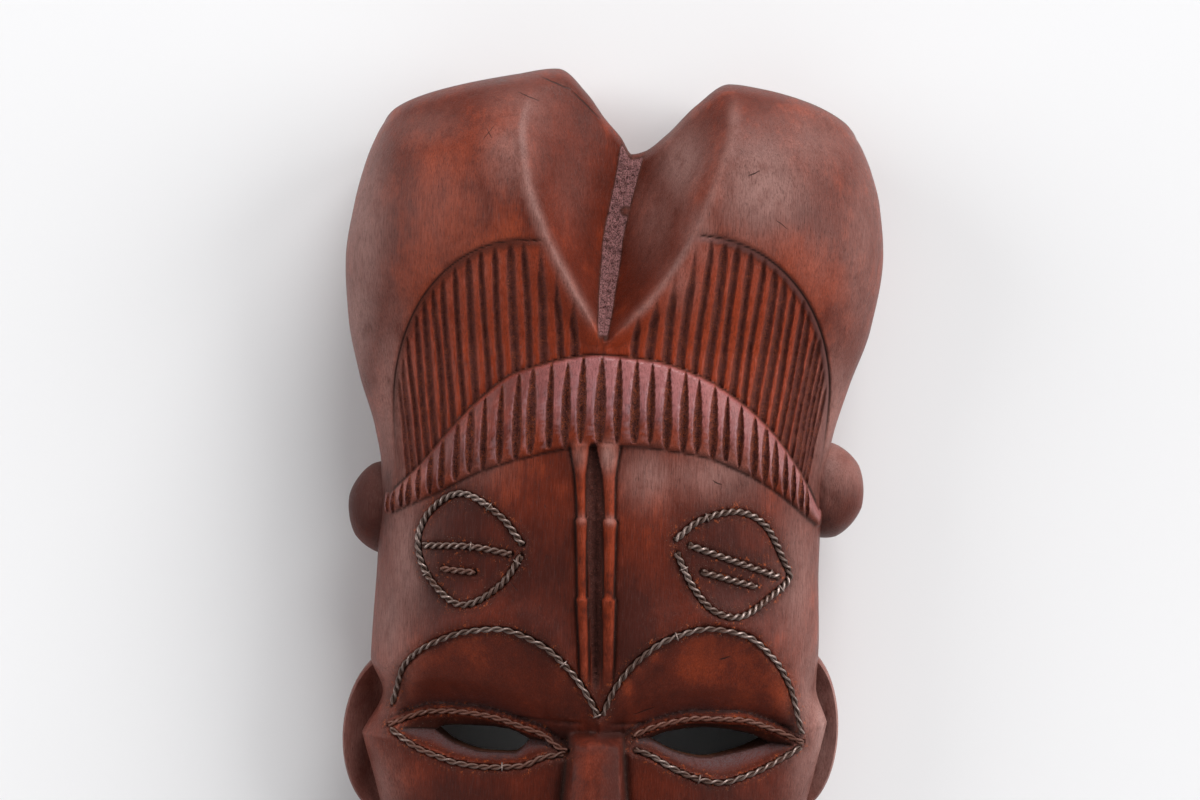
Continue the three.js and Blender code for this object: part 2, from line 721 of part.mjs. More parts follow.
function rods() {
  return RODS.map(({ x: line, share }) => loft(ROD_STATIONS.map((y) => {
    const x = line(y);
    const half = ROD_HALF_WIDTH(y) * share;
    const ground = frontHeight(x, y);
    const rise = ROD_RISE(y);
    return ROD_SECTION.map(([across, up]) => [
      x + half * across, y, ground + (up < 0 ? up : up * rise),
    ]);
  })));
}

// Cutting shapes reach this far out of the wood
const CUT_CLEAR = 4;

// The V-shaped groove between the rods
const ROD_GROOVE_HALF_WIDTH = through([
  [-34, 0.6], [-20, 1.2], [10, 2], [36, 2.6], [45, 3], [52, 2.1], [59, 1],
]);
const ROD_GROOVE_STATIONS = [-30, -14, 9, 33, 45, 52, 59];
const ROD_GROOVE_DEPTH = 2.5;

function rodGroove() {
  return loft(ROD_GROOVE_STATIONS.map((y) => {
    const x = (RODS[0].x(y) + RODS[1].x(y)) / 2;
    const half = ROD_GROOVE_HALF_WIDTH(y);
    const ground = frontHeight(x, y);
    return [
      [x - half, y, ground + CUT_CLEAR],
      [x, y, ground - ROD_GROOVE_DEPTH],
      [x + half, y, ground + CUT_CLEAR],
    ];
  }));
}

// The nose: a flat ridge, and on each side a gentle facet over a steep one; it widens to the wings
const NOSE_SIDES = [
  {
    ridge: through([[-110, -7], [-103, -8.5], [-95, -7.5], [-80, -5], [-60, -3.3], [-36, -2.6]]),
    base: through([[-110, -18], [-103, -23], [-95, -21], [-80, -15], [-60, -11], [-36, -9.6]]),
    shoulder: [0.4, 0.74],
  },
  {
    ridge: through([[-110, 8], [-103, 9.5], [-95, 8], [-80, 5], [-60, 2], [-36, 1.7]]),
    base: through([[-110, 19.5], [-103, 24.5], [-95, 22.5], [-80, 17], [-60, 11.4], [-36, 9.2]]),
    shoulder: [0.24, 0.7],
  },
];
const NOSE_HEIGHT = through([
  [-110, 72], [-108, 85], [-103, 91], [-95, 89], [-80, 83], [-60, 75], [-45, 70], [-40.5, 68.4],
  [-37, 64],
]);
const NOSE_STATIONS = [-110, -107.5, -103, -97, -80, -60, -40.5, -37];
const NOSE_SUNK = 1.2;
const WING_Y = -99;
const WING_TALL = 7;
const WING_RISE = 3;

function nose() {
  return loft(NOSE_STATIONS.map((y) => {
    const [left, right] = NOSE_SIDES.map(({ ridge, base, shoulder: [place, height] }) => {
      const ground = frontHeight(base(y), y) - NOSE_SUNK;
      const top = Math.max(NOSE_HEIGHT(y), ground + 0.5);
      const wing = WING_RISE * bell(y - WING_Y, WING_TALL);
      return [
        [base(y), y, ground],
        [lerp(base(y), ridge(y), place), y, lerp(ground, top, height) + wing],
        [ridge(y), y, top],
      ];
    });
    return [...left, ...right.reverse()];
  }));
}

// Two full lips, each a half-round roll that tapers to the corners of the mouth
const MOUTH_X = 1;
const MOUTH_HALF = 25;
const LIPS = [
  { y: (u) => -126.4 - 2.6 * u ** 2 - 1.4 * bell(u, 0.16), width: 5, rise: 5.5 },
  { y: (u) => -137.4 + 5.4 * u ** 2, width: 5.4, rise: 6 },
];

const LIP_STATIONS = 7;
const LIP_SECTION = [[-1, -2], [-0.65, 0.75], [0, 1], [0.65, 0.75], [1, -2]];

function lips() {
  return LIPS.map((lip) => {
    const rings = [];
    for (let i = 0; i < LIP_STATIONS; i += 1) {
      const u = -Math.cos((Math.PI * (i + 0.35)) / (LIP_STATIONS - 0.3));
      const full = Math.sqrt(1 - u ** 2);
      const x = MOUTH_X + MOUTH_HALF * u;
      const y = lip.y(u);
      const ground = frontHeight(x, y);
      rings.push(LIP_SECTION.map(([out, up]) => [
        x, y + out * lip.width * full, ground + (up > 0 ? up * lip.rise * full : up),
      ]));
    }
    return loft(rings);
  });
}

// The sharp crease above each lid: steep on the lid's side, then a long slope up to the brow
const CREASE_STATIONS = 8;

function crease(eye) {
  const rings = [];
  for (let i = 0; i <= CREASE_STATIONS; i += 1) {
    const t = i / CREASE_STATIONS;
    const x = lerp(eye.inner, eye.outer, lerp(0.02, 0.97, t));
    const y = eye.lidTop(x) + CREASE_ABOVE_LID - 2;
    const ease = Math.sin(Math.PI * t) ** 0.5;
    const reach = Math.min(CREASE_REACH, Math.max(eye.brow(x) - y, 1)) * (0.3 + 0.7 * ease);
    const ground = frontHeight(x, y);
    const floor = ground - CREASE_DEPTH * ease;
    const far = frontHeight(x, y + reach);
    rings.push([
      [x, y, ground + CUT_CLEAR], [x, y + 0.4, floor], [x, y + 1.8, floor],
      [x, y + reach, far], [x, y + reach, far + CUT_CLEAR],
    ]);
  }
  return loft(rings);
}

// The eye: an almond between the lids, bevelled down to a slit that goes right through
const ALMOND_POINTS = 7;
const LID_WIDTH = 1.6;
const LID_CORNER = 3;
const LID_DEPTH = 0.4;
const BEVEL_DEPTH = 6.5;
const SLIT_END_Z = 20;

function almond(inner, outer, top, bottom, height) {
  const ring = [];
  for (let k = 0; k <= ALMOND_POINTS; k += 1) {
    const x = lerp(inner, outer, (1 - Math.cos((Math.PI * k) / ALMOND_POINTS)) / 2);
    ring.push([x, top(x), height(x, top(x))]);
  }
  for (let k = ALMOND_POINTS - 1; k > 0; k -= 1) {
    const x = lerp(inner, outer, (1 - Math.cos((Math.PI * k) / ALMOND_POINTS)) / 2);
    ring.push([x, bottom(x), height(x, bottom(x))]);
  }
  return ring;
}

function eyeOpening(eye) {
  const under = (depth) => (x, y) => frontHeight(x, y) - depth;
  const lid = (height) => almond(
    eye.inner + eye.side * LID_CORNER,
    eye.outer - eye.side * LID_CORNER,
    (x) => eye.lidTop(x) - LID_WIDTH,
    (x) => eye.lidBottom(x) + LID_WIDTH,
    height,
  );
  const slit = (height) => almond(
    eye.slitInner, eye.slitOuter, eye.slitTop, eye.slitBottom, height,
  );
  return loft([
    lid(under(-CUT_CLEAR)), lid(under(LID_DEPTH)), slit(under(LID_DEPTH + BEVEL_DEPTH)),
    slit(() => SLIT_END_Z),
  ]);
}

// Wire paths on the face, each as points seen from the front
const densely = (line, from, to, count = 24) => {
  const points = [];
  for (let i = 0; i <= count; i += 1) {
    const x = lerp(from, to, (1 - Math.cos((Math.PI * i) / count)) / 2);
    points.push([x, line(x)]);
  }
  return points;
};
const WIRE_PATHS = {
  left_ornament_outline: [
    [-26.6, 24.4], [-34.3, 33.4], [-47.7, 40.1], [-57.2, 34.3], [-61.5, 24.3], [-58.1, 13.1],
    [-46.3, 3.6], [-33.4, 10.6], [-26.8, 20.6],
  ],
  left_ornament_long_bar: [[-57.2, 22.3], [-43.6, 22.8], [-31.4, 21.2]],
  left_ornament_short_bar: [[-53, 14.9], [-42, 14.4]],
  right_ornament_outline: [
    [23.4, 27.8], [31.2, 34.3], [44.2, 37.5], [52.6, 33.7], [59.5, 22.5], [62.1, 16], [55.2, 9.2],
    [45.6, 3.2], [37.3, 4.8], [30.5, 11.5], [24, 23.4],
  ],
  right_ornament_long_bar: [[29.6, 25.7], [56.8, 16.9]],
  right_ornament_short_bar: [[32.5, 17.5], [50.7, 13]],
  left_brow: densely(FACE[0].brow, -68.9, -1),
  right_brow: densely(FACE[1].brow, 3, 68.6),
  left_eye_upper: densely(FACE[0].lidTop, -67, -14.5),
  left_eye_lower: densely(FACE[0].lidBottom, -67, -14.5),
  right_eye_upper: densely(FACE[1].lidTop, 13, 67),
  right_eye_lower: densely(FACE[1].lidBottom, 13, 67),
};

function laid(points) {
  return evenly(points, WIRE_STEP).map(([x, y]) => [x, y, frontHeight(x, y) + WIRE_LIFT]);
}

let body = block();
for (const piece of [...ears(), ...knobs()]) body = body.add(piece);
body = body.subtract(hollow()).subtract(ledge());
for (const hair of HAIR) body = body.subtract(hairCut(hair));
for (const piece of [band(), nose(), ...rods(), ...lips()]) body = body.add(piece);
body = body.subtract(rodGroove());
for (const eye of FACE) body = body.subtract(crease(eye)).subtract(eyeOpening(eye));

const group = new THREE.Group();
for (const [name, points] of Object.entries(WIRE_PATHS)) {
  const path = laid(points);
  body = body.subtract(tube(path, WIRE_RADIUS + WIRE_CLEARANCE));
  group.add(meshOf(tube(path, WIRE_RADIUS), `${name}_wire`, WIRE));
}
group.add(meshOf(withoutSlivers(body), 'mask_body', WOOD));

export default group;
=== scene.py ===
# %% [markdown]
# A carved wooden mask with wire inlays.
# The real mask is one block of hardwood, stained red-brown and waxed, with twisted wires pressed
# into cuts in its face. The packed solids give every place and size. This lesson carves the same
# forms again, finely, and then gives the wood and the wire their finish.

# %% Load the packed model
import math
from types import SimpleNamespace

import bmesh
import bpy
import numpy as np
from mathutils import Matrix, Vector


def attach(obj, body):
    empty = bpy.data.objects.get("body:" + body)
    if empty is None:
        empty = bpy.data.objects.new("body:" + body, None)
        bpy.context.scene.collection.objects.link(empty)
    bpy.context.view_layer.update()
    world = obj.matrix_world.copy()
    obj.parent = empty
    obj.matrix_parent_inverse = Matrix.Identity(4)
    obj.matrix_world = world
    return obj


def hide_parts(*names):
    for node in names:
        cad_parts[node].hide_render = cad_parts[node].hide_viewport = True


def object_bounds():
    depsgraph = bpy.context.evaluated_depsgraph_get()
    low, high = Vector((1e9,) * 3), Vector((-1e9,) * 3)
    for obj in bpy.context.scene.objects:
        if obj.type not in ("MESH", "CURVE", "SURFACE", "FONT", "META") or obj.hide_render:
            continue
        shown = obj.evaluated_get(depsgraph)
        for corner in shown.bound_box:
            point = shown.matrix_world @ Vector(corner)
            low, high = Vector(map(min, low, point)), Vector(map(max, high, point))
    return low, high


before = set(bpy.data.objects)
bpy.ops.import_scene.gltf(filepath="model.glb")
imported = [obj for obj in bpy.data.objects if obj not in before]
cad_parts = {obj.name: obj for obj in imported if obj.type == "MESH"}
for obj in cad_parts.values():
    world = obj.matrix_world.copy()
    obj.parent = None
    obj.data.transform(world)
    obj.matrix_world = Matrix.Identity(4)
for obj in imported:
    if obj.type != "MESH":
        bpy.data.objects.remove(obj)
cad_low, cad_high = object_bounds()
MM = 0.001


def linked(name, data):
    """A new object with this data, in the scene."""
    made = bpy.data.objects.new(name, data)
    bpy.context.scene.collection.objects.link(made)
    return made


print("frame", len(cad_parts), "nodes, box in mm",
      [round(v / MM, 1) for v in (*cad_low, *cad_high)])

# %% [markdown]
# The camera looks straight down on the mask, as a person would who stands before a mask on a wall.
# It could be aimed with a constraint, but a fixed place and one small turn are easier to read, and
# the turn is the lean that the mask has in the view.

# %% Camera
VIEW_MIDDLE = (-3.0 * MM, 72.5 * MM)
VIEW_HEIGHT = 885 * MM
VIEW_TURN = math.radians(2.2)

camera_data = bpy.data.cameras.new("mask_camera")
camera_data.lens = 75
camera_data.sensor_width = 36
camera_data.clip_start = 0.05
camera = linked("mask_camera", camera_data)
camera.location = (*VIEW_MIDDLE, VIEW_HEIGHT)
camera.rotation_euler = (0, 0, VIEW_TURN)
bpy.context.scene.camera = camera
print("camera", [round(v, 3) for v in camera.location])

# %% [markdown]
# Curves first. A carver's line is smooth but never wavy, so every outline and profile here is a
# curve through a few measured knots that doesn't overshoot between them. A spline library could
# give the same, but these few lines show how it works.

# %% Curves
def through(*knots):
    """A smooth curve through (place, value) knots that never overshoots between two of them."""
    place, value = np.array(knots, float).T
    secant = np.diff(value) / np.diff(place)
    before, after = secant[:-1], secant[1:]
    total = np.where(before + after == 0, 1, before + after)
    inner = np.where(before * after <= 0, 0, 2 * before * after / total)
    tangent = np.concatenate([secant[:1], inner, secant[-1:]])

    def curve(at):
        at = np.clip(at, place[0], place[-1])
        i = np.clip(np.searchsorted(place, at, side="right") - 1, 0, len(place) - 2)
        span = place[i + 1] - place[i]
        s = (at - place[i]) / span
        rise = (value[i + 1] - value[i]) * s * s * (3 - 2 * s)
        lean = tangent[i] * s * (1 - s) ** 2 - tangent[i + 1] * s * s * (1 - s)
        return value[i] + rise + span * lean

    return curve


print("a curve through 0, 2 and 3 passes", round(float(through((0, 0), (1, 2), (2, 3))(0.5)), 2),
      "between the first two")

# %% [markdown]
# Carving also needs soft edges and a little chance. A soft step goes from 0 to 1, a bell marks a
# line and both its sides, and grain is smooth chance over the surface. Blender's own noise could
# serve for the grain, but here the same number always comes back for the same seed and place.

# %% Soft steps and chance
def held(value):
    """The value kept between 0 and 1."""
    return np.clip(value, 0, 1)


def step(low, high, value):
    """0 before low, 1 past high, and a smooth rise between. It falls where high is the smaller."""
    s = held((value - low) / (high - low))
    return s * s * (3 - 2 * s)


def bell(distance, width):
    return np.exp(-((distance / width) ** 2))


def mix(a, b, t):
    return a + (b - a) * t


def greatest(*values):
    return np.maximum.reduce(values)


def soft_least(a, b, reach):
    """The smaller of two heights, rounded over where they are less than reach apart."""
    h = held(0.5 + 0.5 * (b - a) / reach)
    return mix(b, a, h) - reach * h * (1 - h)


def soft_most(a, b, reach):
    return -soft_least(-a, -b, reach)


def grain(x, y, cell, seed, stretch=1.0):
    """Smooth chance between -1 and 1: a lattice of random numbers, cell millimetres apart."""
    numbers = np.random.default_rng(seed).uniform(-1, 1, (256, 256))
    u, v = x / cell, y / (cell * stretch)
    i, j = np.floor(u).astype(int), np.floor(v).astype(int)
    fu, fv = step(0, 1, u - i), step(0, 1, v - j)

    def at(i, j):
        return numbers[i % 256, j % 256]

    low = mix(at(i, j), at(i + 1, j), fu)
    high = mix(at(i, j + 1), at(i + 1, j + 1), fu)
    return mix(low, high, fv)


print("half way up a soft step", step(0, 1, 0.5), "and a quarter of the way", step(0, 1, 0.25))

# %% [markdown]
# The outline, seen from the front: the left and the right edge by height, and the top edge across.
# The face is long and narrow, and the crest above it spreads into two lobes with a notch between.
# The two sides aren't mirror images, because the mask was carved by eye.

# %% Outline and the lines that run up the mask, in millimetres
left_edge = through(
    (-184, -5), (-181, -14), (-176, -22), (-168, -31), (-155, -41), (-140, -49.5), (-120, -58),
    (-95, -65.5), (-64, -73), (-44, -79.1), (-43, -79.4), (-42, -78.95), (-29, -73),
    (-17, -77.6), (20, -76.6), (46, -76.6), (60, -79.2), (78, -85.3), (98, -90), (118, -91.66),
    (136, -89.5), (152, -85.8), (165.5, -80.5))
right_edge = through(
    (-184, 7), (-181, 16), (-176, 24), (-168, 33), (-155, 43), (-140, 51), (-120, 58.5),
    (-95, 65), (-60, 72.5), (-35, 78), (-34, 78.2), (-33, 77.9), (-22, 74.2), (-9, 74.6),
    (20, 73.6), (46, 74.2), (62, 76.6), (80, 81.7), (100, 88.4), (124, 91.8), (142, 90),
    (154, 86.6), (165.5, 81.5))
top_edge = through(
    (-80.5, 165.5), (-75.8, 169), (-61.8, 174.3), (-35.6, 181), (-21.5, 184), (-11, 175.2),
    (-4.9, 167.4), (0.7, 161.6), (4.7, 156), (9, 157.2), (16.2, 162.8), (25.4, 172.4),
    (36.5, 180.2), (47, 178.9), (62.2, 175.3), (75.6, 169.8), (81.5, 165.5))
middle = through(
    (-184, 1), (-57, 1.1), (-34, 0.4), (-14, -0.9), (8, -1.8), (34, -2.9), (57, -4.2), (80, -3),
    (96, -2.5), (123, -0.9), (140, 1.8), (156, 4.7), (184, 8))
left_keel = through(
    (90, -2.5), (98, -6.5), (108, -12.6), (127, -23), (143, -28.8), (160, -31), (170, -29.5),
    (184, -21.5))
right_keel = through(
    (90, -2.5), (98, 5), (106, 12.2), (126, 24.4), (145, 31.6), (165, 36.6), (184, 36.5))
print("width at the crest, the brow and the chin, in mm",
      [round(float(right_edge(y) - left_edge(y)), 1) for y in (118, 0, -150)])

# %% [markdown]
# The broad form is what a carver would rough out first: a dome across the face and the outer
# sides of the crest, and between the two keels a valley. It is a height for each place, because
# nearly all of this mask can be seen from the front. The keels are rounded over by a soft least
# of two slopes, so that they catch a thin line of light as worn wood does.

# %% Broad form
CREST_START = 90
KEEL_ROUNDING = 2.6
VALLEY_HALF_WIDTH = through((90, 1.2), (100, 2.2), (120, 3.2), (145, 3.6), (156, 4.2))
TOP_ROUND_REACH = 5
TOP_ROUND_DROP = 4

crown_height = through(
    (-184, 28), (-180, 39), (-172, 49), (-160, 56), (-145, 59.5), (-120, 60), (-90, 60),
    (-60, 61), (-40, 63), (-20, 66), (0, 69), (30, 70.5), (57, 70), (72, 70.5), (88, 71.5),
    (110, 75), (130, 76), (150, 73), (165, 65), (176, 55), (184, 44))
edge_height = through(
    (-184, 24), (-150, 28), (-100, 32), (-43, 36), (-20, 34), (20, 33), (60, 32), (120, 30),
    (184, 27))
valley_height = through(
    (88, 71.5), (95, 66), (105, 58), (120, 50), (140, 44), (156, 40), (184, 38))
squareness = through(
    (-184, 2), (-150, 2.2), (-100, 2.7), (-43, 3.2), (0, 2.9), (50, 2.5), (90, 2.2), (184, 2.1))


def side_share(x, y):
    """How far a point lies towards the edge: 0 on the middle line or keel, 1 on the outline."""
    crest = y > CREST_START
    left = np.where(crest, left_keel(y), middle(y))
    right = np.where(crest, right_keel(y), middle(y))
    share = np.maximum((left - x) / (left - left_edge(y)), (x - right) / (right_edge(y) - right))
    return held(share)


def valley_side(x, y):
    """The slope from the valley up to a keel and, in thought, on beyond it."""
    valley, height = middle(y), valley_height(y)
    keel = np.where(x < valley, left_keel(y), right_keel(y))
    across = np.where(np.abs(keel - valley) < 0.5, 0.5 * np.sign(x - valley), keel - valley)
    rise = crown_height(y) - height

    def slope(distance):
        up = np.clip(distance / np.abs(across), 0, 2)
        return height + rise * up * (0.8 + 0.2 * up)

    return soft_most(slope(np.abs(x - valley)), slope(VALLEY_HALF_WIDTH(y)), 0.5)


def broad_height(x, y):
    crown, edge, share = crown_height(y), edge_height(y), side_share(x, y)
    dome_shape = np.sqrt(np.maximum(1 - share ** squareness(y), 0))
    dome = edge + (crown - edge) * (0.9 * dome_shape + 0.1 * (1 - share))
    reach = KEEL_ROUNDING * step(CREST_START, CREST_START + 8, y) + 0.01
    return np.where(y > CREST_START, soft_least(dome, valley_side(x, y), reach), dome)


print("broad form, crown at the brow", round(float(broad_height(0.0, -20.0)), 1), "mm")

# %% [markdown]
# The face: brow ridges over sunken sockets, narrow pierced eyes between two lids, soft cheeks,
# a mouth mound and a chin. Each line across the face is a curve of its own, measured for the left
# and for the right eye, and the relief is worked out from the distance to these lines.

# %% Lines across the face
band_top = through(
    (-72, 38.5), (-61.5, 49), (-52, 60.7), (-42.6, 70.9), (-29.7, 80.6), (-3.6, 86.7), (13, 85.7),
    (29.7, 81), (43.2, 73.3), (53.4, 64.7), (63.9, 51.9), (72, 38.5))
band_bottom = through(
    (-72, 32), (-54.5, 40.8), (-41.6, 47.8), (-28.6, 52.5), (-10.6, 56.8), (8, 58), (30.6, 55.7),
    (44, 51.2), (55.7, 45.1), (72, 33))
LEFT_EYE = SimpleNamespace(
    side=-1, inner=-8.5, outer=-69.5,
    brow=through((-76, -58), (-69.5, -34), (-68, -29), (-65, -18.5), (-55.7, -10), (-42.7, -4.8),
                 (-32.9, -3.6), (-19.6, -7.9), (-9.5, -16.3), (-2.5, -26), (1.1, -33)),
    lid_top=through((-69.5, -38.5), (-63, -35.9), (-55.2, -33.5), (-46, -33), (-38, -33.5),
                    (-31.4, -34.8), (-24.1, -37), (-17.8, -39), (-12.5, -42.8), (-8.5, -44.4)),
    lid_bottom=through((-69.5, -39.3), (-62.8, -43.4), (-58.4, -45.6), (-54, -47), (-45.9, -49.2),
                       (-37, -50), (-24.1, -49), (-16.8, -45.8), (-8.5, -44.4)),
    slit_inner=-21.8, slit_outer=-54,
    slit_top=through((-54, -40), (-50, -38.2), (-37, -37.8), (-29, -38.5), (-21.8, -41.5)),
    slit_bottom=through((-54, -40), (-47, -44), (-36, -46.2), (-27, -45.9), (-21.8, -41.5)))
RIGHT_EYE = SimpleNamespace(
    side=1, inner=9.6, outer=69.5,
    brow=through((1.1, -33), (5.6, -21.8), (13.4, -11.4), (23, -4.4), (35.9, -0.9), (47.5, -2.9),
                 (57.6, -10.6), (64.6, -21.8), (67.7, -33), (75, -58)),
    lid_top=through((9.6, -40.3), (13, -37.8), (20.9, -34.4), (34.1, -31.8), (47.3, -32),
                    (59.1, -35.2), (69.5, -39.4)),
    lid_bottom=through((9.6, -40.3), (12.6, -42), (18, -43.8), (25.4, -47.8), (34.8, -51.4),
                       (41.5, -52.3), (51.3, -49.6), (61, -45), (69.5, -40.2)),
    slit_inner=17.6, slit_outer=58.5,
    slit_top=through((17.6, -39.4), (25, -36.8), (37, -35.5), (50, -37), (58.5, -40.4)),
    slit_bottom=through((17.6, -39.4), (27, -43.8), (36, -45.4), (47, -43.6), (58.5, -40.4)))
EYES = (LEFT_EYE, RIGHT_EYE)


def by_eye(x, y, value):
    """value(eye) taken from the eye on the point's own side of the middle line."""
    return np.where(x < middle(y), value(LEFT_EYE), value(RIGHT_EYE))


print("eyes, mm from corner to corner", [round(abs(eye.outer - eye.inner), 1) for eye in EYES])

# %% Face relief
BROW_RISE = 3
SOCKET_DEPTH = 7
CREASE_ABOVE_LID = 3


def face_relief(x, y):
    from_centre = np.abs(x - middle(y))
    brow_line = by_eye(x, y, lambda eye: eye.brow(x))
    crease_line = by_eye(x, y, lambda eye: eye.lid_top(x)) + CREASE_ABOVE_LID
    lower_lid = by_eye(x, y, lambda eye: eye.lid_bottom(x)) - 3
    room = np.maximum(brow_line - crease_line, 2)
    below = held((brow_line - y) / room)
    regained = step(crease_line, lower_lid, y)
    brow_slope = by_eye(x, y, lambda eye: eye.brow(x + 0.5) - eye.brow(x - 0.5))
    away = (y - brow_line) / np.sqrt(1 + brow_slope ** 2)
    brow = BROW_RISE * bell(away - 2, 8) * step(2, 16, from_centre) * step(65, 54, from_centre)
    inside = step(74, 64, from_centre)
    socket = -np.minimum(SOCKET_DEPTH, 0.35 * room) * below ** 1.3 * (1 - regained) * inside
    cheek = 2.5 * bell(from_centre - 42, 20) * bell(y + 72, 20)
    mouth = 9 * bell(from_centre, 28) * bell(y + 132, 20)
    chin = 4 * bell(from_centre, 18) * bell(y + 163, 10)
    return np.where(y > 20, 0, brow + socket + cheek + mouth + chin)


def front_height(x, y):
    """The wood's surface before the ornament is cut, in millimetres over the resting rim."""
    within = held((top_edge(x) - y) / TOP_ROUND_REACH)
    rounding = np.where(y > CREST_START, TOP_ROUND_DROP * (1 - within) ** 2, 0)
    return broad_height(x, y) + face_relief(x, y) - rounding


print("front under the left brow", round(float(front_height(-40.0, -25.0)), 1), "mm over the rim")

# %% [markdown]
# Each ornament below is one function. It takes the heights so far, and gives back the new heights
# and marks: where the cut is fresh or punched, where shade and dirt are painted dark, and where a
# sheen is painted on. The wood's material reads these marks later, so colour and carving always
# agree. A painted mask texture could do this too, but it would have to be drawn again after every
# change of shape.
# The hair is a field of V-shaped flutes under each arc. Every flute has its own width and end,
# because a hand-cut row is never even.

# %% Hair: arcs and flutes
FAN_CENTRE_X = -2
FAN_LEVEL_Y = 80
FAN_RADIUS = 77
# lit says how much light falls on each side's arc: painted shade lies along the arc on the dim left
# side, and a painted sheen on the bevel of the lit right side
HAIR_SIDES = (
    SimpleNamespace(side=-1, x=-30, y=72, wide=42, up=51.5, down=85, keel=left_keel, flutes=16,
                    lit=0.15, red=0.82),
    SimpleNamespace(side=1, x=28, y=76, wide=46, up=51, down=85, keel=right_keel, flutes=19,
                    lit=0.9, red=1.0))
chance = np.random.default_rng(7)


def inside_arc(hair, x, y):
    """How far inside the arc a point lies, in millimetres, negative outside."""
    reach = np.where(y > hair.y, hair.up, hair.down)
    across = np.maximum(hair.side * (x - hair.x), 0) / hair.wide
    along = (y - hair.y) / reach
    e = np.sqrt(across ** 2 + along ** 2) + 1e-9
    return (1 - e) * e / np.sqrt((across / hair.wide) ** 2 + (along / reach) ** 2 + 1e-12)


def flute_angle(f):
    return math.radians(7 + 3.8 * f)


def flute_x(hair, f, y):
    offset = FAN_RADIUS * math.sin(flute_angle(f))
    lean = math.radians(3.5 + 6.5 * (offset / FAN_RADIUS) ** 2)
    return FAN_CENTRE_X + hair.side * (offset + (y - FAN_LEVEL_Y) * math.tan(lean))


flute_habits = [[(chance.uniform(0.82, 1.15), chance.uniform(-0.35, 0.35), chance.uniform(0, 1.1),
                  chance.uniform(0, 6)) for f in range(hair.flutes)] for hair in HAIR_SIDES]
print("flutes left and right", [len(habits) for habits in flute_habits])

# %% [markdown]
# The field lies a little lower than the crest, behind a thin wall with a bevel under the arc, and
# fades out along the keel. Each flute is a V whose depth falls to nothing at its ends. Cutting 35
# wedges with Booleans would leave sharp, even grooves that no chisel makes.

# %% Hair: the cuts
HAIR_LEVEL = 2.6
FLUTE_DEPTH = 1.5
FLUTE_HALF_WIDTH = 1.5
ARC_CUT_DEPTH = 0.8
ARC_WALL = 0.7
ARC_BEVEL = 2.1
keel_fade = through((88, 4), (112, 13))
hair_level_share = through((55, 0.4), (105, 1))


def band_middle(x):
    return (band_top(x) + band_bottom(x)) / 2


def carve_hair(x, y, z):
    dark, cut, bevelled, zone = (np.zeros_like(z) for _ in range(4))
    fade = keel_fade(y)
    for hair, habits in zip(HAIR_SIDES, flute_habits):
        arc = inside_arc(hair, x, y)
        keel = hair.side * (x - hair.keel(y)) * 0.8
        near = held(4 * keel / fade) * (y > band_middle(x))
        sunk = HAIR_LEVEL * hair_level_share(y) * step(0.1 * fade, fade, keel)
        wall = step(-ARC_WALL / 2, ARC_WALL / 2, arc) * (near > 0)
        sunk = sunk * np.clip((arc + ARC_WALL / 2) / (ARC_BEVEL + ARC_WALL), 0.15, 1)
        high = step(48, 78, y)
        bevel = ARC_CUT_DEPTH * bell(arc - 0.1, 0.45) * near * mix(0.2, 1, high)
        flute = np.zeros_like(z)
        for f, (wide, shift, short, phase) in enumerate(habits):
            line = flute_x(hair, f, y) + shift + 0.22 * np.sin(y / 9 + phase)
            taper = held((arc - 0.6 - short) / 4) ** 0.5
            taper = taper * held((keel - 0.1 * fade) / (0.6 * fade))
            half = FLUTE_HALF_WIDTH * wide * (0.35 + 0.65 * taper) * math.cos(flute_angle(f)) ** 0.35
            half = half + 0.12 * grain(x, y, 1.3, 70 + f, 2)
            depth = FLUTE_DEPTH * taper * held(1 - np.abs(x - line) / half) ** 0.6
            flute = np.maximum(flute, depth)
        ragged = 0.22 * grain(x, y, 0.8, 11, 2.5) * (flute > 0.3)
        z = z - near ** 0.5 * (wall * sunk + bevel) - wall * (flute + ragged * (flute > 0))
        cut = np.maximum(cut, wall * held(flute / 0.8))
        # painted shade along the arc: a thin line where the side is lit, a wider band where it is dim;
        # then a painted sheen on the lit bevel
        shade = hair.lit * 0.6 * bell(arc - 0.1, 0.5) + (1 - hair.lit) * 0.7 * bell(arc - 0.8, 1.1)
        dark = np.maximum(dark, near * mix(0.35, 1, high) * shade)
        slope = wall * near * step(ARC_BEVEL + 0.2, ARC_BEVEL - 0.4, arc)
        bevelled = np.maximum(bevelled, hair.lit * high * slope)
        zone = np.maximum(zone, wall * near * step(0.9, 0.7, side_share(x, y)) * hair.red)
    return z, dark, cut, bevelled, zone


print("hair", HAIR_LEVEL, "mm under the crest, flutes up to", FLUTE_DEPTH, "mm deeper")

# %% [markdown]
# The headband is a half-round arch laid over the hair's lower ends. Its gouges are lens-shaped
# scoops that go from edge to edge, widest below the middle and pointed at both ends, with torn
# grain inside where the gouge left the wood bare.

# %% Headband
BAND_EDGE_RISE = 1.0
BAND_ROUND_RISE = 2.6
BAND_GOUGES = 33
BAND_RADIUS = 76
BAND_CENTRE_X = -3
BAND_HALF_LENGTH = 74
BAND_CUT_HALF_LENGTH = 71
GOUGE_ANGLE = 4.2
GOUGE_DEPTH = 1.9
GOUGE_WIDTH = 3.5
gouge_habits = [(chance.uniform(0.8, 1.15), chance.uniform(-0.03, 0.04), chance.uniform(0.96, 1.05),
                 chance.uniform(-0.5, 0.5), chance.uniform(0.52, 0.85)) for i in range(BAND_GOUGES)]


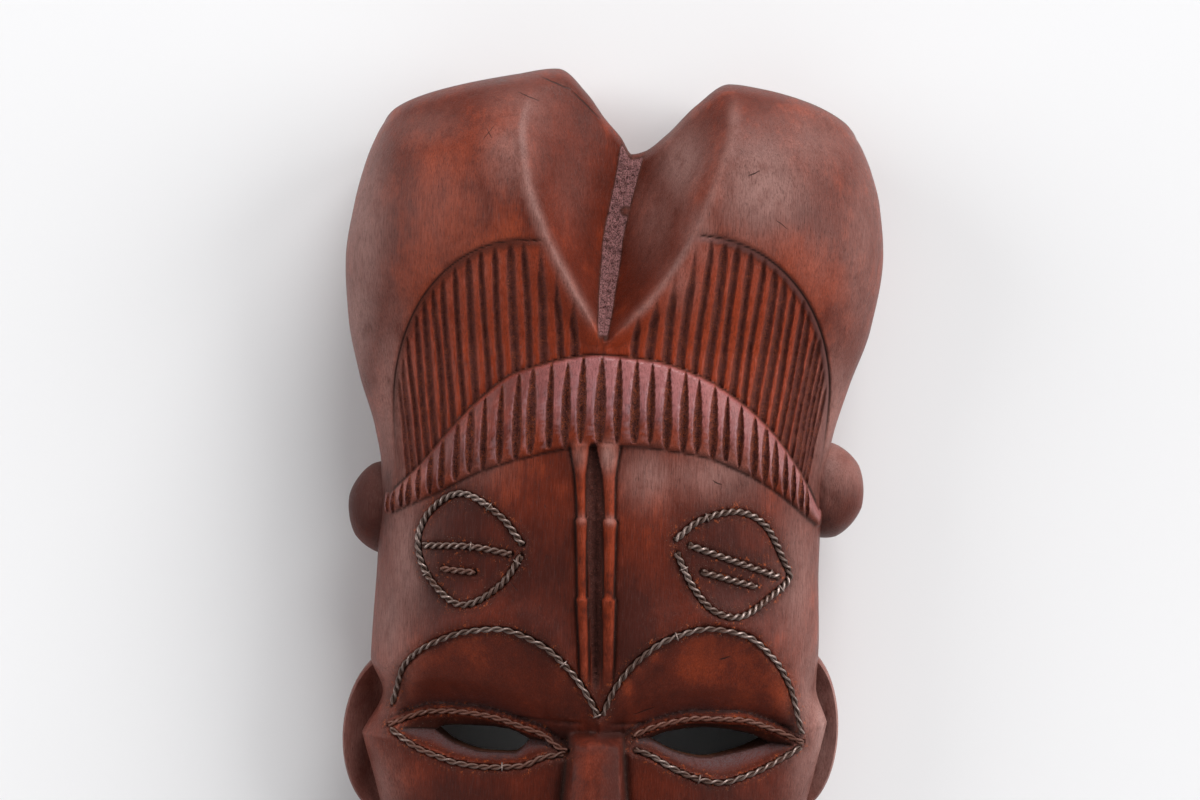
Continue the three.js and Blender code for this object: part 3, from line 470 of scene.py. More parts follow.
def carve_band(x, y, z, ground):
    low, high = band_bottom(x), band_top(x)
    lean = 1 / np.sqrt(1 + ((band_top(x + 0.5) - band_top(x - 0.5))) ** 2)
    across = held((y - low) / (high - low))
    above, under = (y - low) * lean, (high - y) * lean
    on_band = step(-0.6, 0.6, above) * step(-0.6, 0.6, under) * (np.abs(x) < BAND_HALF_LENGTH)
    rise = BAND_EDGE_RISE + BAND_ROUND_RISE * np.sin(np.pi * across) ** 0.8
    gouge, rim = np.zeros_like(z), np.zeros_like(z)
    for i, (wide, start, end, shift, skew) in enumerate(gouge_habits):
        angle = math.radians((i - (BAND_GOUGES - 1) / 2) * GOUGE_ANGLE)
        line = BAND_CENTRE_X + BAND_RADIUS * math.sin(angle) + shift + 0.5 * (across - 0.5) ** 2
        along = held((across - start) / (end - start)) ** skew
        slot = 0.92 if angle < -0.2 else 1.0
        lens = np.sin(np.pi * along) ** (0.5 if angle < -0.2 else 0.65)
        half = GOUGE_WIDTH / 2 * slot * wide * math.cos(angle) ** 0.8 * lens + 0.02
        half = half + 0.1 * grain(x, y, 1.1, 21 + i) * lens
        share = held(1 - np.abs(x - line) / half)
        gouge = np.maximum(gouge, GOUGE_DEPTH * lens ** 0.5 * share ** 0.45)
        # painted highlight: a pale line along the left edge of each gouge, where light catches it
        beside = bell(line - x - half - 0.1, 0.2)
        rim = np.maximum(rim, beside * lens * step(0.95, 0.6, across))
    torn = 0.35 * grain(x, y, 0.7, 12, 1.6) * (gouge > 0.5)
    z = mix(z, ground + rise - gouge - torn, on_band)
    along_cuts = np.abs(x) < BAND_CUT_HALF_LENGTH
    # painted shade: dark lines in the small steps along the band's lower and upper edge
    line_cut, upper_cut = bell(above + 0.35, 0.5) * along_cuts, bell(under + 0.5, 0.5) * along_cuts
    z = z - 0.3 * line_cut - 0.3 * upper_cut
    dark = np.maximum(0.2 * line_cut, 0.5 * upper_cut)
    return z, dark, on_band * held(gouge / 0.9), on_band, on_band * rim


print("gouges", BAND_GOUGES, "up to", GOUGE_DEPTH, "mm deep")

# %% [markdown]
# Two thin rods run down the forehead like bamboo: each has two nodes, and every length is widest
# just below its node. The groove between them was punched with a pointed tool, which leaves a dark
# pitted strip. The same punch was used along the valley of the crest.

# %% Rods, and the punched strips
rod_lines = (through((-34, -4.4), (-14, -4.9), (8, -6.4), (34, -7.6), (58, -9)),
             through((-34, 3.2), (-14, 2.9), (8, 2.3), (34, 1.6), (58, 0.2)))
ROD_SHARES = (0.78, 0.96)
rod_half_width = through(
    (-34, 1.5), (-16, 1.75), (4, 2.1), (7.4, 2.3), (8.3, 1.6), (14, 1.7), (30, 2.1), (33, 2.4),
    (34, 1.6), (40, 1.75), (47, 2.1), (52, 3), (58, 4.1))
rod_rise = through(
    (-34, 1.6), (4, 2.3), (7.4, 2.9), (8.3, 1.5), (14, 1.9), (30, 2.4), (33, 3), (34, 1.6),
    (47, 2.2), (58, 2.6))
strip_half_width = through(
    (-34, 0.8), (-20, 1.4), (10, 2.1), (36, 2.7), (45, 3.1), (52, 2.2), (59, 1.2))
STRIP_DEPTH = 2.2
PUNCH_CELL = 1.15
PUNCH_DEPTH = 0.55


def punch(x, y):
    """Small pits side by side, as a pointed tool leaves them."""
    coarse = grain(x, y, PUNCH_CELL, 31)
    return coarse + 0.5 * grain(x, y, PUNCH_CELL / 2, 32)


def carve_rods(x, y, z, ground):
    inside = step(-27, -12, y) * step(58.8, 57.4, y)
    lean = (rod_lines[0](y) + rod_lines[1](y)) / 2
    strip = held(1 - np.abs(x - lean) / strip_half_width(y)) ** 0.7 * inside
    z = z - STRIP_DEPTH * strip
    dark, thin = np.zeros_like(z), np.zeros_like(z)
    for line, share in zip(rod_lines, ROD_SHARES):
        offset = np.abs(x - line(y))
        half = rod_half_width(y) * share
        arch = held(1 - (offset / half) ** 2.6) ** 0.55
        cut = bell(offset - half - 0.4, 0.6) * inside
        rod = ground - 0.8 + (rod_rise(y) + 0.8) * arch
        z = np.where(arch > 0, mix(z, np.maximum(z, rod), inside), z - 0.5 * cut)
        # painted shade in the narrow cut beside each rod
        dark = np.maximum(dark, 0.5 * cut * (arch <= 0))
        thin = np.maximum(thin, inside * held(arch * 2) * mix(0.4, 1, step(-24, 12, y)))
    left_side = rod_lines[0](y) + rod_half_width(y) * ROD_SHARES[0]
    right_side = rod_lines[1](y) - rod_half_width(y) * ROD_SHARES[1]
    pits = held(strip * 3) * (x > left_side) * (x < right_side)
    return z - PUNCH_DEPTH * 0.6 * pits * punch(x, y), dark, pits, thin


def carve_valley(x, y, z):
    half = VALLEY_HALF_WIDTH(y)
    wander = 0.35 * grain(x * 0 + 5, y, 6, 33)
    strip = step(half + 0.5, half - 0.4, np.abs(x - middle(y) - wander)) * step(91, 95, y)
    strip = strip * step(0.5, 3, top_edge(x) - y)
    bare = bell(x - middle(148), 1.8) * bell(y - 136, 1.6)
    strip = strip * (1 - bare)
    return z - PUNCH_DEPTH * strip * (0.3 + punch(x, y)), strip


print("rods, mm apart at the top", round(float(rod_lines[1](58) - rod_lines[0](58)), 1))

# %% [markdown]
# Nose, mouth and eyes. The nose is a flat ridge with two sloping sides. The lips are two rolls.
# Above each upper lid is a sharp crease, and the lids are bevelled inwards to a slit that goes
# right through the wood. Only the slits need a real hole, so they are cut out later as solids.

# %% Nose and mouth
nose_ridge = (through((-110, -7), (-103, -8.5), (-95, -7.5), (-80, -5), (-60, -3.3), (-36, -2.6)),
              through((-110, 8), (-103, 9.5), (-95, 8), (-80, 5), (-60, 2), (-36, 1.7)))
nose_base = (through((-110, -18), (-103, -23), (-95, -21), (-80, -15), (-60, -11), (-36, -9.6)),
             through((-110, 19.5), (-103, 24.5), (-95, 22.5), (-80, 17), (-60, 11.4), (-36, 9.2)))
nose_height = through((-110, 83), (-107, 88), (-103, 91), (-95, 89), (-80, 83), (-60, 75),
                      (-45, 70), (-34, 66))
NOSE_SHOULDERS = ((0.40, 0.74), (0.24, 0.70))
MOUTH_HALF = 25
LIPS = (
    SimpleNamespace(line=lambda u: -126.4 - 2.6 * u ** 2 - 1.4 * bell(u, 0.16), width=5, rise=5.5),
    SimpleNamespace(line=lambda u: -137.4 + 5.4 * u ** 2, width=5.4, rise=6))


def nose_flank(share, shoulder):
    """Rise of one side: steep up to the shoulder, then a gentler facet up to the ridge."""
    place, height = shoulder
    steep = share * height / place
    gentle = height + (share - place) * (1 - height) / (1 - place)
    return soft_least(steep, gentle, 0.08)


def carve_nose(x, y, z):
    ground = z - 1.2
    left = held((x - nose_base[0](y)) / (nose_ridge[0](y) - nose_base[0](y)))
    right = held((nose_base[1](y) - x) / (nose_base[1](y) - nose_ridge[1](y)))
    flank = np.minimum(nose_flank(left, NOSE_SHOULDERS[0]), nose_flank(right, NOSE_SHOULDERS[1]))
    body = ground + (nose_height(y) - ground) * flank
    wings = 3.2 * (bell(x + 17, 5.5) + bell(x - 18.5, 5.5)) * bell(y + 99, 7)
    ends = step(-36.6, -40.6, y + 0.1 * np.abs(x)) * step(-110.5, -106.5, y)
    on_nose = (flank > 0) & (y < -35) & (y > -110.5)
    raised = np.where(on_nose, z + (body + wings * (flank > 0) - z) * ends, z)
    # painted shade in the crease along the foot of the nose
    beside = bell(np.minimum(np.abs(x - nose_base[0](y)), np.abs(x - nose_base[1](y))), 1.4)
    beside = beside * step(-36, -42, y) * step(-104, -96, y)
    return np.maximum(z, raised) - 0.7 * beside, beside * 0.5


def carve_mouth(x, y, z):
    u = np.clip((x - 1) / MOUTH_HALF, -1, 1)
    full = np.sqrt(1 - u ** 2)
    ground = z
    for lip in LIPS:
        offset = (y - lip.line(u)) / (lip.width * full + 0.01)
        roll = lip.rise * full * np.sqrt(held(1 - offset ** 2))
        z = np.maximum(z, ground + roll * (np.abs(offset) < 1))
    # painted shade in the gap between the lips
    gap = bell(y - (-131.8 + 1.4 * u ** 2), 0.9) * (full > 0.1)
    return z - 1.2 * gap * full, gap * full


print("tip of the nose", round(float(nose_height(-103)), 1), "mm over the rim")

# %% Eyes
CREASE_DEPTH = 4.5
CREASE_REACH = 10
CHAMFER_WIDTH = 1.5
BEVEL_DEPTH = 6.5


def carve_eye(eye, x, y, z):
    lid, brow = eye.lid_top(x), eye.brow(x)
    along = held((x - eye.inner) / (eye.outer - eye.inner))
    mine = eye.side * (x - middle(y)) > 0
    ease = np.sin(np.pi * held(along * 0.98 + 0.02)) ** 0.5 * mine * (along < 1)
    above = y - (lid + CREASE_ABOVE_LID - 0.9)
    reach = np.clip(brow - lid - 3, 1, CREASE_REACH)
    crease = held(1 - above / reach) ** 1.6 * step(-1.3, 0.1, above)
    z = z - CREASE_DEPTH * crease * ease
    # painted shade along the crease over the lid
    dark = 0.1 * bell(above - 0.4, 1.4) * ease

    below_brow = brow - y
    chamfer = held(1 - (below_brow - 1.3) / CHAMFER_WIDTH) * step(0.4, 1.3, below_brow)
    chamfer = chamfer * step(3, 7, np.abs(x)) * step(69, 62, np.abs(x))
    z = z - 0.75 * chamfer

    rim_high, rim_low = lid - 1.5, eye.lid_bottom(x) + 1.5
    from_inner = eye.side * (x - eye.inner) - 3.5
    from_outer = eye.side * (eye.outer - x) - 3.5
    within = (y < rim_high) & (y > rim_low) & (from_inner > 0) & (from_outer > 0)
    slit_high, slit_low = eye.slit_top(x), eye.slit_bottom(x)
    down = (rim_high - y) / np.maximum(rim_high - slit_high, 0.3)
    up = (y - rim_low) / np.maximum(slit_low - rim_low, 0.3)
    toward = held(np.minimum(down, up))
    corner_in = held(from_inner / (eye.side * (eye.slit_inner - eye.inner) - 3.5))
    corner_out = held(from_outer / (eye.side * (eye.outer - eye.slit_outer) - 3.5))
    toward = toward * np.minimum(corner_in, corner_out) ** 0.7
    z = np.where(within, z - 0.4 - BEVEL_DEPTH * toward ** 0.9, z)
    # the almond's upper bevel faces away from the light and gets painted shade; the lower bevel faces
    # it and gets a painted sheen, and the crease above the lid a little painted light
    lower_side = within * step(1.05, 0.9, up)
    dark = np.maximum(dark, 0.75 * within * (1 - lower_side) * step(0, 0.3, toward))
    painted_lid_sheen = np.maximum(lower_side * step(0.15, 0.7, up), 0.4 * crease * ease)
    corner = bell(eye.side * (x - eye.inner) - 4, 5) * bell(y - eye.lid_bottom(x) - 2, 3.5)
    z = z - PUNCH_DEPTH * corner * (0.3 + punch(x, y))
    return z, dark, painted_lid_sheen, corner


print("slits, mm long", [round(abs(eye.slit_outer - eye.slit_inner), 1) for eye in EYES])

# %% [markdown]
# The wires lie in cuts along the brows, the lids and the two forehead ornaments. Their paths are
# needed twice: here to cut the wood, and later to lay the wire. Beside each cut the hammered wood
# is bruised, and small bare flecks show.

# %% Wire paths, seen from the front
WIRE_LIFT = 0.25


def across_face(line, start, end):
    """Points along a line over the face, closer together at its two ends."""
    x = mix(start, end, (1 - np.cos(np.pi * np.arange(71) / 70)) / 2)
    return np.stack([x, line(x)], 1)


def rounded(points):
    """A smooth line through a few points, by the same kind of spline that the solids use."""
    p = np.array(points, float)
    p = np.vstack([2 * p[0] - p[1], p, 2 * p[-1] - p[-2]])
    lengths = np.maximum(np.linalg.norm(np.diff(p, axis=0), axis=1) ** 0.5, 1e-6)
    line = []
    for k in range(1, len(p) - 2):
        for s in np.arange(0, 1, 0.1):
            a, b, c = lengths[k - 1], lengths[k], lengths[k + 1]
            t1 = ((p[k] - p[k - 1]) / a - (p[k + 1] - p[k - 1]) / (a + b) + (p[k + 1] - p[k]) / b) * b
            t2 = ((p[k + 1] - p[k]) / b - (p[k + 2] - p[k]) / (b + c) + (p[k + 2] - p[k + 1]) / c) * b
            line.append((2 * s ** 3 - 3 * s ** 2 + 1) * p[k] + (s ** 3 - 2 * s ** 2 + s) * t1
                        + (3 * s ** 2 - 2 * s ** 3) * p[k + 1] + (s ** 3 - s ** 2) * t2)
    return np.vstack([line, p[-2]])


WIRES = {
    "left_ornament_outline": rounded([
        (-26.6, 24.4), (-34.3, 33.4), (-47.7, 40.1), (-57.2, 34.3), (-61.5, 24.3), (-58.1, 13.1),
        (-46.3, 3.6), (-33.4, 10.6), (-26.8, 20.6)]),
    "left_ornament_long_bar": rounded([(-59.6, 22.2), (-43.6, 22.8), (-30.2, 21)]),
    "left_ornament_short_bar": rounded([(-53, 14.9), (-42, 14.4)]),
    "right_ornament_outline": rounded([
        (23.4, 27.8), (31.2, 34.3), (44.2, 37.5), (52.6, 33.7), (59.5, 22.5), (62.1, 16),
        (55.2, 9.2), (45.6, 3.2), (37.3, 4.8), (30.5, 11.5), (24, 23.4)]),
    "right_ornament_long_bar": rounded([(28, 26.2), (58.6, 16.2)]),
    "right_ornament_short_bar": rounded([(32.5, 17.5), (50.7, 13)]),
    "left_brow": across_face(LEFT_EYE.brow, -68.9, 0.2),
    "right_brow": across_face(RIGHT_EYE.brow, 2, 68.6),
    "left_eye_upper": across_face(LEFT_EYE.lid_top, -69.4, -9.6),
    "left_eye_lower": across_face(LEFT_EYE.lid_bottom, -68.6, -10.6),
    "right_eye_upper": across_face(RIGHT_EYE.lid_top, 12.4, 69.3),
    "right_eye_lower": across_face(RIGHT_EYE.lid_bottom, 13, 68.4),
}
print("wires", len(WIRES))

# %% [markdown]
# On the real mask each wire seems to lie in a shallow channel, tapped down and held by staples.
# Here the channel is worked out from the distance to the path, which keeps the same depth round
# every bend. A Boolean cut with the wire's own mesh would leave very small faces.

# %% Cuts for the wires
def from_path(path, x, y):
    """Distance from each point to a path, and the place of the nearest point on it."""
    best = np.full(x.shape, 99.0)
    nearest = np.zeros(x.shape + (2,))
    close = ((x > path[:, 0].min() - 6) & (x < path[:, 0].max() + 6)
             & (y > path[:, 1].min() - 6) & (y < path[:, 1].max() + 6))
    px, py = x[close], y[close]
    found, at = best[close], nearest[close]
    for a, b in zip(path[:-1], path[1:]):
        d = b - a
        t = held(((px - a[0]) * d[0] + (py - a[1]) * d[1]) / max(d @ d, 1e-9))
        qx, qy = a[0] + t * d[0], a[1] + t * d[1]
        far = np.hypot(px - qx, py - qy)
        nearer = far < found
        found = np.where(nearer, far, found)
        at[nearer] = np.stack([qx, qy], 1)[nearer]
    best[close], nearest[close] = found, at
    return best, nearest


CUT_RADIUS = 1.2


def carve_wire_cuts(x, y, z):
    dark, bruised = np.zeros_like(z), np.zeros_like(z)
    for path in WIRES.values():
        far, at = from_path(path, x, y)
        floor = front_height(at[..., 0], at[..., 1]) + WIRE_LIFT
        cut = floor - np.sqrt(np.clip(CUT_RADIUS ** 2 - far ** 2, 0, None))
        z = np.where(far < CUT_RADIUS, np.minimum(z, cut), z)
        z = z + 0.16 * bell(far - 1.9, 0.5) * grain(x, y, 1.1, 41)
        # painted shade: a dark line along each wire and a softer halo round it
        dark = greatest(dark, 0.5 * step(1.8, 1.0, far), 0.34 * step(4.6, 1.6, far))
        bruised = np.maximum(bruised, step(4.0, 1.5, far))
    return z, dark, bruised


print("cuts", 2 * CUT_RADIUS, "mm wide")

# %% [markdown]
# A carver works from the large cuts to the small ones, and so does this function: hair, band and
# rods first, then eyes, nose and mouth, and the wires' cuts last. The block and its marks both ask
# this one function, so the carving is written down only once.

# %% All the carving, one cut after the other
def carve(x, y):
    """The finished front: its heights in millimetres, and the marks that the finish reads."""
    ground = front_height(x, y)
    ground = ground + 0.16 * grain(x, y, 13, 51, 1.7) + 0.07 * grain(x, y, 5, 52, 2)
    z, hair_dark, fluted, bevelled, ribbed = carve_hair(x, y, ground)
    z, band_dark, gouged, on_band, gouge_edge_sheen = carve_band(x, y, z, ground)
    z, rod_dark, rod_pits, rod_thin = carve_rods(x, y, z, ground)
    z, valley_pits = carve_valley(x, y, z)
    dark = greatest(hair_dark * (1 - on_band), band_dark, rod_dark)
    fluted, bevelled, ribbed = (mark * (1 - on_band) for mark in (fluted, bevelled, ribbed))
    lid_bloom, corners = np.zeros_like(z), np.zeros_like(z)
    for eye in EYES:
        z, eye_dark, lit_bevel, punched_corner = carve_eye(eye, x, y, z)
        dark = np.maximum(dark, eye_dark)
        lid_bloom = np.maximum(lid_bloom, lit_bevel)
        corners = np.maximum(corners, punched_corner)
    z, nose_dark = carve_nose(x, y, z)
    z, mouth_dark = carve_mouth(x, y, z)
    z, wire_dark, bruised = carve_wire_cuts(x, y, z)
    dark = greatest(dark, nose_dark, mouth_dark, wire_dark)
    pitted = greatest(0.6 * rod_pits, valley_pits, 0.5 * corners)
    band_share = held((y - band_bottom(x)) / (band_top(x) - band_bottom(x)))
    # painted sheen on the upper half of the band's round, which faces the light; less of it towards the
    # band's two ends
    sheen_along_band = step(-36, -6, x) * mix(1, 0.75, step(20, 50, x))
    plateau = on_band * (1 - gouged) * step(0.15, 0.55, band_share) * mix(0.25, 1, sheen_along_band)
    warm_ends = 0.9 * on_band * (1 - gouged) * bell(band_share - 0.12, 0.16)
    nose_side = 0.4 * bell(x - nose_ridge[0](y) - 1.5, 5) * step(-35, -44, y) * step(-112, -100, y)
    rod_thin = greatest(rod_thin, warm_ends, nose_side)
    return z, {"dark": dark, "gouged": gouged, "fluted": fluted, "bevelled": bevelled,
               "ribbed": ribbed, "rim": gouge_edge_sheen, "pitted": pitted, "bruised": bruised,
               "plateau": plateau, "rod": rod_thin, "lid_bloom": lid_bloom}


print("marks for the finish", list(carve(np.zeros((1, 1)), np.zeros((1, 1)))[1]))

# %% [markdown]
# Now the block itself. A sheet of points covers the front, with rows that follow the outline and
# lie closer where the carving is fine. Walls go down from its rim, drawing in a little, and close
# it at the back. Sculpting a remeshed block would also work, but would need far more faces to
# keep the flutes crisp.

# %% Front sheet
ROW_SPACING = ((-184, 1.4), (-150, 1.0), (-118, 1.3), (-62, 0.6), (0, 0.8), (32, 0.7), (90, 0))
CREST_ROWS = 122
crest_rise = through((0, 0), (0.5, 0.36), (0.9, 0.88), (1, 1))
COLUMNS = 470


def row_heights():
    heights = []
    for (start, gap), (end, _) in zip(ROW_SPACING[:-1], ROW_SPACING[1:]):
        heights.append(np.linspace(start, end, max(round((end - start) / gap), 1), endpoint=False))
    return np.concatenate(heights)


def column_x(share, y):
    """Columns go from -1 on the left edge through 0 in the middle to 1 on the right edge."""
    reach = np.abs(share) * 0.7 + 0.3 * np.sin(np.abs(share) * np.pi / 2)
    edge = np.where(share < 0, left_edge(y), right_edge(y))
    return mix(middle(y), edge, reach)


shares = np.linspace(-1, 1, COLUMNS)
low_rows = row_heights()
low_y = np.repeat(low_rows[:, None], COLUMNS, 1)
low_x = column_x(shares[None, :], low_y)
tops = top_edge(column_x(shares, 170))
for _ in range(12):
    tops = 0.5 * tops + 0.5 * top_edge(column_x(shares, tops))
up = crest_rise(np.linspace(0, 1, CREST_ROWS))[:, None]
high_y = mix(CREST_START, tops[None, :], up)
high_x = column_x(shares[None, :], high_y)
sheet_x = np.vstack([low_x, high_x])
sheet_y = np.vstack([low_y, high_y])
sheet_z, _ = carve(sheet_x, sheet_y)
print("front sheet", sheet_x.shape, "points, heights", round(float(sheet_z.min()), 1), "to",
      round(float(sheet_z.max()), 1), "mm")

# %% The closed block
WALL_RINGS = ((0.992, 0.995, 0.66), (0.983, 0.99, 0.33), (0.975, 0.985, 0), (0.955, 0.972, -0.8),
              (0.94, 0.965, -1))
WALL_FOOT = 8


def grid_faces(first, rows, columns):
    r, c = np.meshgrid(np.arange(rows - 1), np.arange(columns - 1), indexing="ij")
    a = first + r * columns + c
    return np.stack([a, a + 1, a + columns + 1, a + columns], -1).reshape(-1, 4).tolist()


def rim_of(rows, columns):
    """The border of a sheet, anticlockwise for rows that run up and columns that run right."""
    return np.concatenate([
        np.arange(columns - 1), np.arange(rows - 1) * columns + columns - 1,
        (rows - 1) * columns + np.arange(columns - 1, 0, -1), np.arange(rows - 1, 0, -1) * columns])


def mesh_object(name, points, faces):
    """An object whose mesh has these points, in millimetres, and these faces."""
    mesh = bpy.data.meshes.new(name)
    mesh.from_pydata((np.asarray(points) * MM).tolist(), [], faces)
    mesh.validate()
    return linked(name, mesh)


def ring_faces(above, below):
    after, under = np.roll(above, -1), np.roll(below, -1)
    return np.stack([above, below, under, after], 1).tolist()


rows, columns = sheet_x.shape
points = [np.stack([sheet_x, sheet_y, sheet_z], -1).reshape(-1, 3)]
faces = grid_faces(0, rows, columns)
rim = rim_of(rows, columns)
rim_points = points[0][rim]
above, total = rim, rows * columns
for scale_x, scale_y, level in WALL_RINGS:
    reach = rim_points[:, 2] - WALL_FOOT if level > 0 else WALL_FOOT
    z = WALL_FOOT + level * reach + 0 * rim_points[:, 2]
    points.append(np.stack([rim_points[:, 0] * scale_x, rim_points[:, 1] * scale_y, z], 1))
    below = np.arange(total, total + len(rim))
    faces += ring_faces(above, below)
    above, total = below, total + len(rim)
faces.append(above[::-1].tolist())
body = mesh_object("mask_wood", np.vstack(points), faces)
print("block", len(body.data.polygons), "faces")

# %% [markdown]
# Ears and knobs stand out sideways, so a sheet of heights can't hold them. Each is a loft: a stack
# of rings, closed at both ends. Subdivided boxes could be shaped the same way, but rings give every
# width straight from a number. The faces have to look outwards before anything is joined or cut.

# %% Rings to a closed solid
def loft(name, rings):
    """A closed solid from rings of points, one above the other."""
    rings = np.asarray(rings, float)
    count = rings.shape[1]
    faces = []
    for k in range(len(rings) - 1):
        low = np.arange(k * count, (k + 1) * count)
        faces += ring_faces(low + count, low)
    faces.append(np.arange(count)[::-1].tolist())
    faces.append(np.arange((len(rings) - 1) * count, len(rings) * count).tolist())
    return mesh_object(name, rings.reshape(-1, 3), faces)


def turn_out(made):
    """Turns every face of a closed mesh outwards."""
    work = bmesh.new()
    work.from_mesh(made.data)
    bmesh.ops.recalc_face_normals(work, faces=work.faces)
    work.to_mesh(made.data)
    work.free()
    return made


turn_out(body)
print("block's faces turned outwards", len(body.data.polygons))

# %% [markdown]
# On the real mask the ears and knobs are of one piece with the face. The Boolean modifier joins
# them to the block, so the wood here is one closed mesh too, with no faces left inside.

# %% Ears and knobs
EAR_RINGS = ((0.5, 9), (0.66, 10.3), (0.79, 12.2), (0.88, 14.6), (0.95, 17.8), (0.985, 21), (1, 25),
             (0.997, 30), (0.985, 33.6), (0.965, 35.2), (0.935, 35.9), (0.89, 35.5), (0.82, 34.4),
             (0.74, 33.2), (0.62, 32), (0.45, 31.2), (0.25, 31))
EAR_HALF_WIDTH, EAR_HALF_HEIGHT = 15.3, 28
KNOB_LEVEL, KNOB_HALF_DEPTH = 26, 15


def oval(x, y, wide, tall, angle, z):
    return np.stack([x + wide * np.cos(angle), y + tall * np.sin(angle), angle * 0 + z], 1)


def ear(x, y):
    angle = np.linspace(0, 2 * np.pi, 72, endpoint=False)
    wobble = 1 + 0.012 * np.sin(3 * angle + x)
    return loft("ear", [oval(x, y, EAR_HALF_WIDTH * scale * wobble, EAR_HALF_HEIGHT * scale * wobble,
                             angle, z) for scale, z in EAR_RINGS])


def knob(x, y, wide, tall):
    angle = np.linspace(0, 2 * np.pi, 56, endpoint=False)
    rings = []
    for lift in np.radians(np.linspace(-84, 84, 31)):
        facets = 0.022 * np.abs(np.cos(3.5 * angle + x)) + 0.012 * np.abs(np.sin(4 * lift))
        around = np.cos(lift) * (1.012 - facets)
        z = KNOB_LEVEL + KNOB_HALF_DEPTH * np.sin(lift) * (1 + 0.01 * np.cos(3 * angle))
        rings.append(oval(x, y, wide * around, tall * around, angle, z))
    return loft("knob", rings)


def evaluated_mesh(made):
    """A plain mesh of an object, with its modifiers worked out."""
    graph = bpy.context.evaluated_depsgraph_get()
    return bpy.data.meshes.new_from_object(made.evaluated_get(graph))


def applied(made):
    """Bakes an object's modifiers into its mesh."""
    mesh = evaluated_mesh(made)
    made.modifiers.clear()
    old, made.data = made.data, mesh
    bpy.data.meshes.remove(old)


def boolean(target, tool, operation):
    """Joins or cuts target with tool, and leaves a plain mesh."""
    modifier = target.modifiers.new(operation.lower(), "BOOLEAN")
    modifier.operation = operation
    modifier.solver = "MANIFOLD"
    modifier.object = turn_out(tool)
    applied(target)
    bpy.data.objects.remove(tool)


for tool in (ear(-71, -44), ear(67.5, -37), knob(-74.5, 33, 13.5, 16), knob(75, 44.5, 13.8, 16.5)):
    boolean(body, tool, "UNION")
print("body with ears and knobs", len(body.data.polygons), "faces")

# %% [markdown]
# Masks are hollowed from behind with a gouge, until the wall is about as thick as a finger. The
# photo doesn't show this side. The hollow is a second sheet that follows the face a wall's
# thickness lower, closed to a solid and cut away. The Solidify modifier would make an even wall
# too, but it would carry every flute of the front through to the inside.

# %% The hollow
HOLLOW_WALL = 13
HOLLOW_TOP, HOLLOW_BOTTOM = 98, -166
HIGHEST_COVER = 62


def hollow_edges(y):
    """The left and the right edge of the hollow, by the place up the mask."""
    turn = (2 * y - HOLLOW_TOP - HOLLOW_BOTTOM) / (HOLLOW_TOP - HOLLOW_BOTTOM)
    end = np.sqrt(np.clip(1 - turn ** 4, 0.02, 1))
    return mix(-8, left_edge(y) + HOLLOW_WALL, end), mix(8, right_edge(y) - HOLLOW_WALL, end)


def hollow_roof(x, y):
    """The hollow follows the face, a wall's thickness under it, but not up into the nose."""
    return np.minimum(broad_height(x, y), HIGHEST_COVER) - HOLLOW_WALL


def hollow_sheet(floor):
    turn = -np.cos(np.linspace(0, np.pi, 65))[:, None]
    across = -np.cos(np.linspace(0, np.pi, 49))[None, :]
    y = mix(HOLLOW_BOTTOM, HOLLOW_TOP, (turn + 1) / 2) + across * 0
    left, right = hollow_edges(y)
    x = mix(left, right, (across + 1) / 2)
    fall = np.sqrt(np.maximum((1 - across ** 4) * (1 - turn ** 6), 0))
    scoops = 0.5 * grain(x, y, 7, 61, 2.2) * fall
    z = y * 0 - 3 if floor else -2 + (hollow_roof(x, y) + 2) * fall + scoops
    return np.stack([x, y, z], -1)


def slab(name, upper, lower):
    rows, columns = upper.shape[:2]
    count = rows * columns
    rim = rim_of(rows, columns)
    faces = grid_faces(0, rows, columns)
    faces += [face[::-1] for face in grid_faces(count, rows, columns)]
    faces += ring_faces(rim, rim + count)
    return mesh_object(name, np.vstack([upper.reshape(-1, 3), lower.reshape(-1, 3)]), faces)


boolean(body, slab("hollow", hollow_sheet(False), hollow_sheet(True)), "DIFFERENCE")
print("hollow, mm long", HOLLOW_TOP - HOLLOW_BOTTOM, "with a wall of", HOLLOW_WALL)

# %% [markdown]
# The eyes are pierced right through. How the real mask hangs isn't seen, so this one has a plain,
# square-cut ledge at the upper end of the hollow, for a nail or a hook. Both are prisms, which the
# Boolean modifier cuts cleanly. In the sheet of heights their walls would lean.

# %% Ledge and eye slits
LEDGE_Y, LEDGE_HALF_WIDTH, LEDGE_DEPTH = 109, 18, 14


def ledge_block():
    """The square-cut pocket whose upper end is the ledge that the mask hangs by."""
    half, low, high = LEDGE_HALF_WIDTH, LEDGE_Y - 24, LEDGE_Y
    corners = ((-half, low), (half, low), (half, high), (-half, high))
    return loft("ledge", [[(x, y, z) for x, y in corners] for z in (-3, LEDGE_DEPTH)])


def slit(eye):
    share = (1 - np.cos(np.linspace(0, np.pi, 25))) / 2
    x = mix(eye.slit_inner, eye.slit_outer, share)
    ring = np.concatenate([np.stack([x, eye.slit_top(x)], 1),
                           np.stack([x, eye.slit_bottom(x)], 1)[-2:0:-1]])
    return loft("slit", [np.column_stack([ring, np.full(len(ring), z)]) for z in (10, 80)])


boolean(body, ledge_block(), "DIFFERENCE")
for eye in EYES:
    boolean(body, slit(eye), "DIFFERENCE")
print("carved body", len(body.data.polygons), "faces")

# %% [markdown]
# The sheet was as fine everywhere as its finest cut needs. The Decimate modifier now takes points
# away where the wood is smooth and keeps them in the carving, which is how a fine mesh gets light
# enough to share.

# %% Fewer faces where the wood is smooth
BODY_TRIANGLES = 192000


def triangle_count(mesh):
    return sum(len(face.vertices) - 2 for face in mesh.polygons)


count = triangle_count(body.data)
fewer = body.modifiers.new("fewer", "DECIMATE")
fewer.ratio = min(1.0, BODY_TRIANGLES / count)
applied(body)
print("triangles", count, "to", triangle_count(body.data))
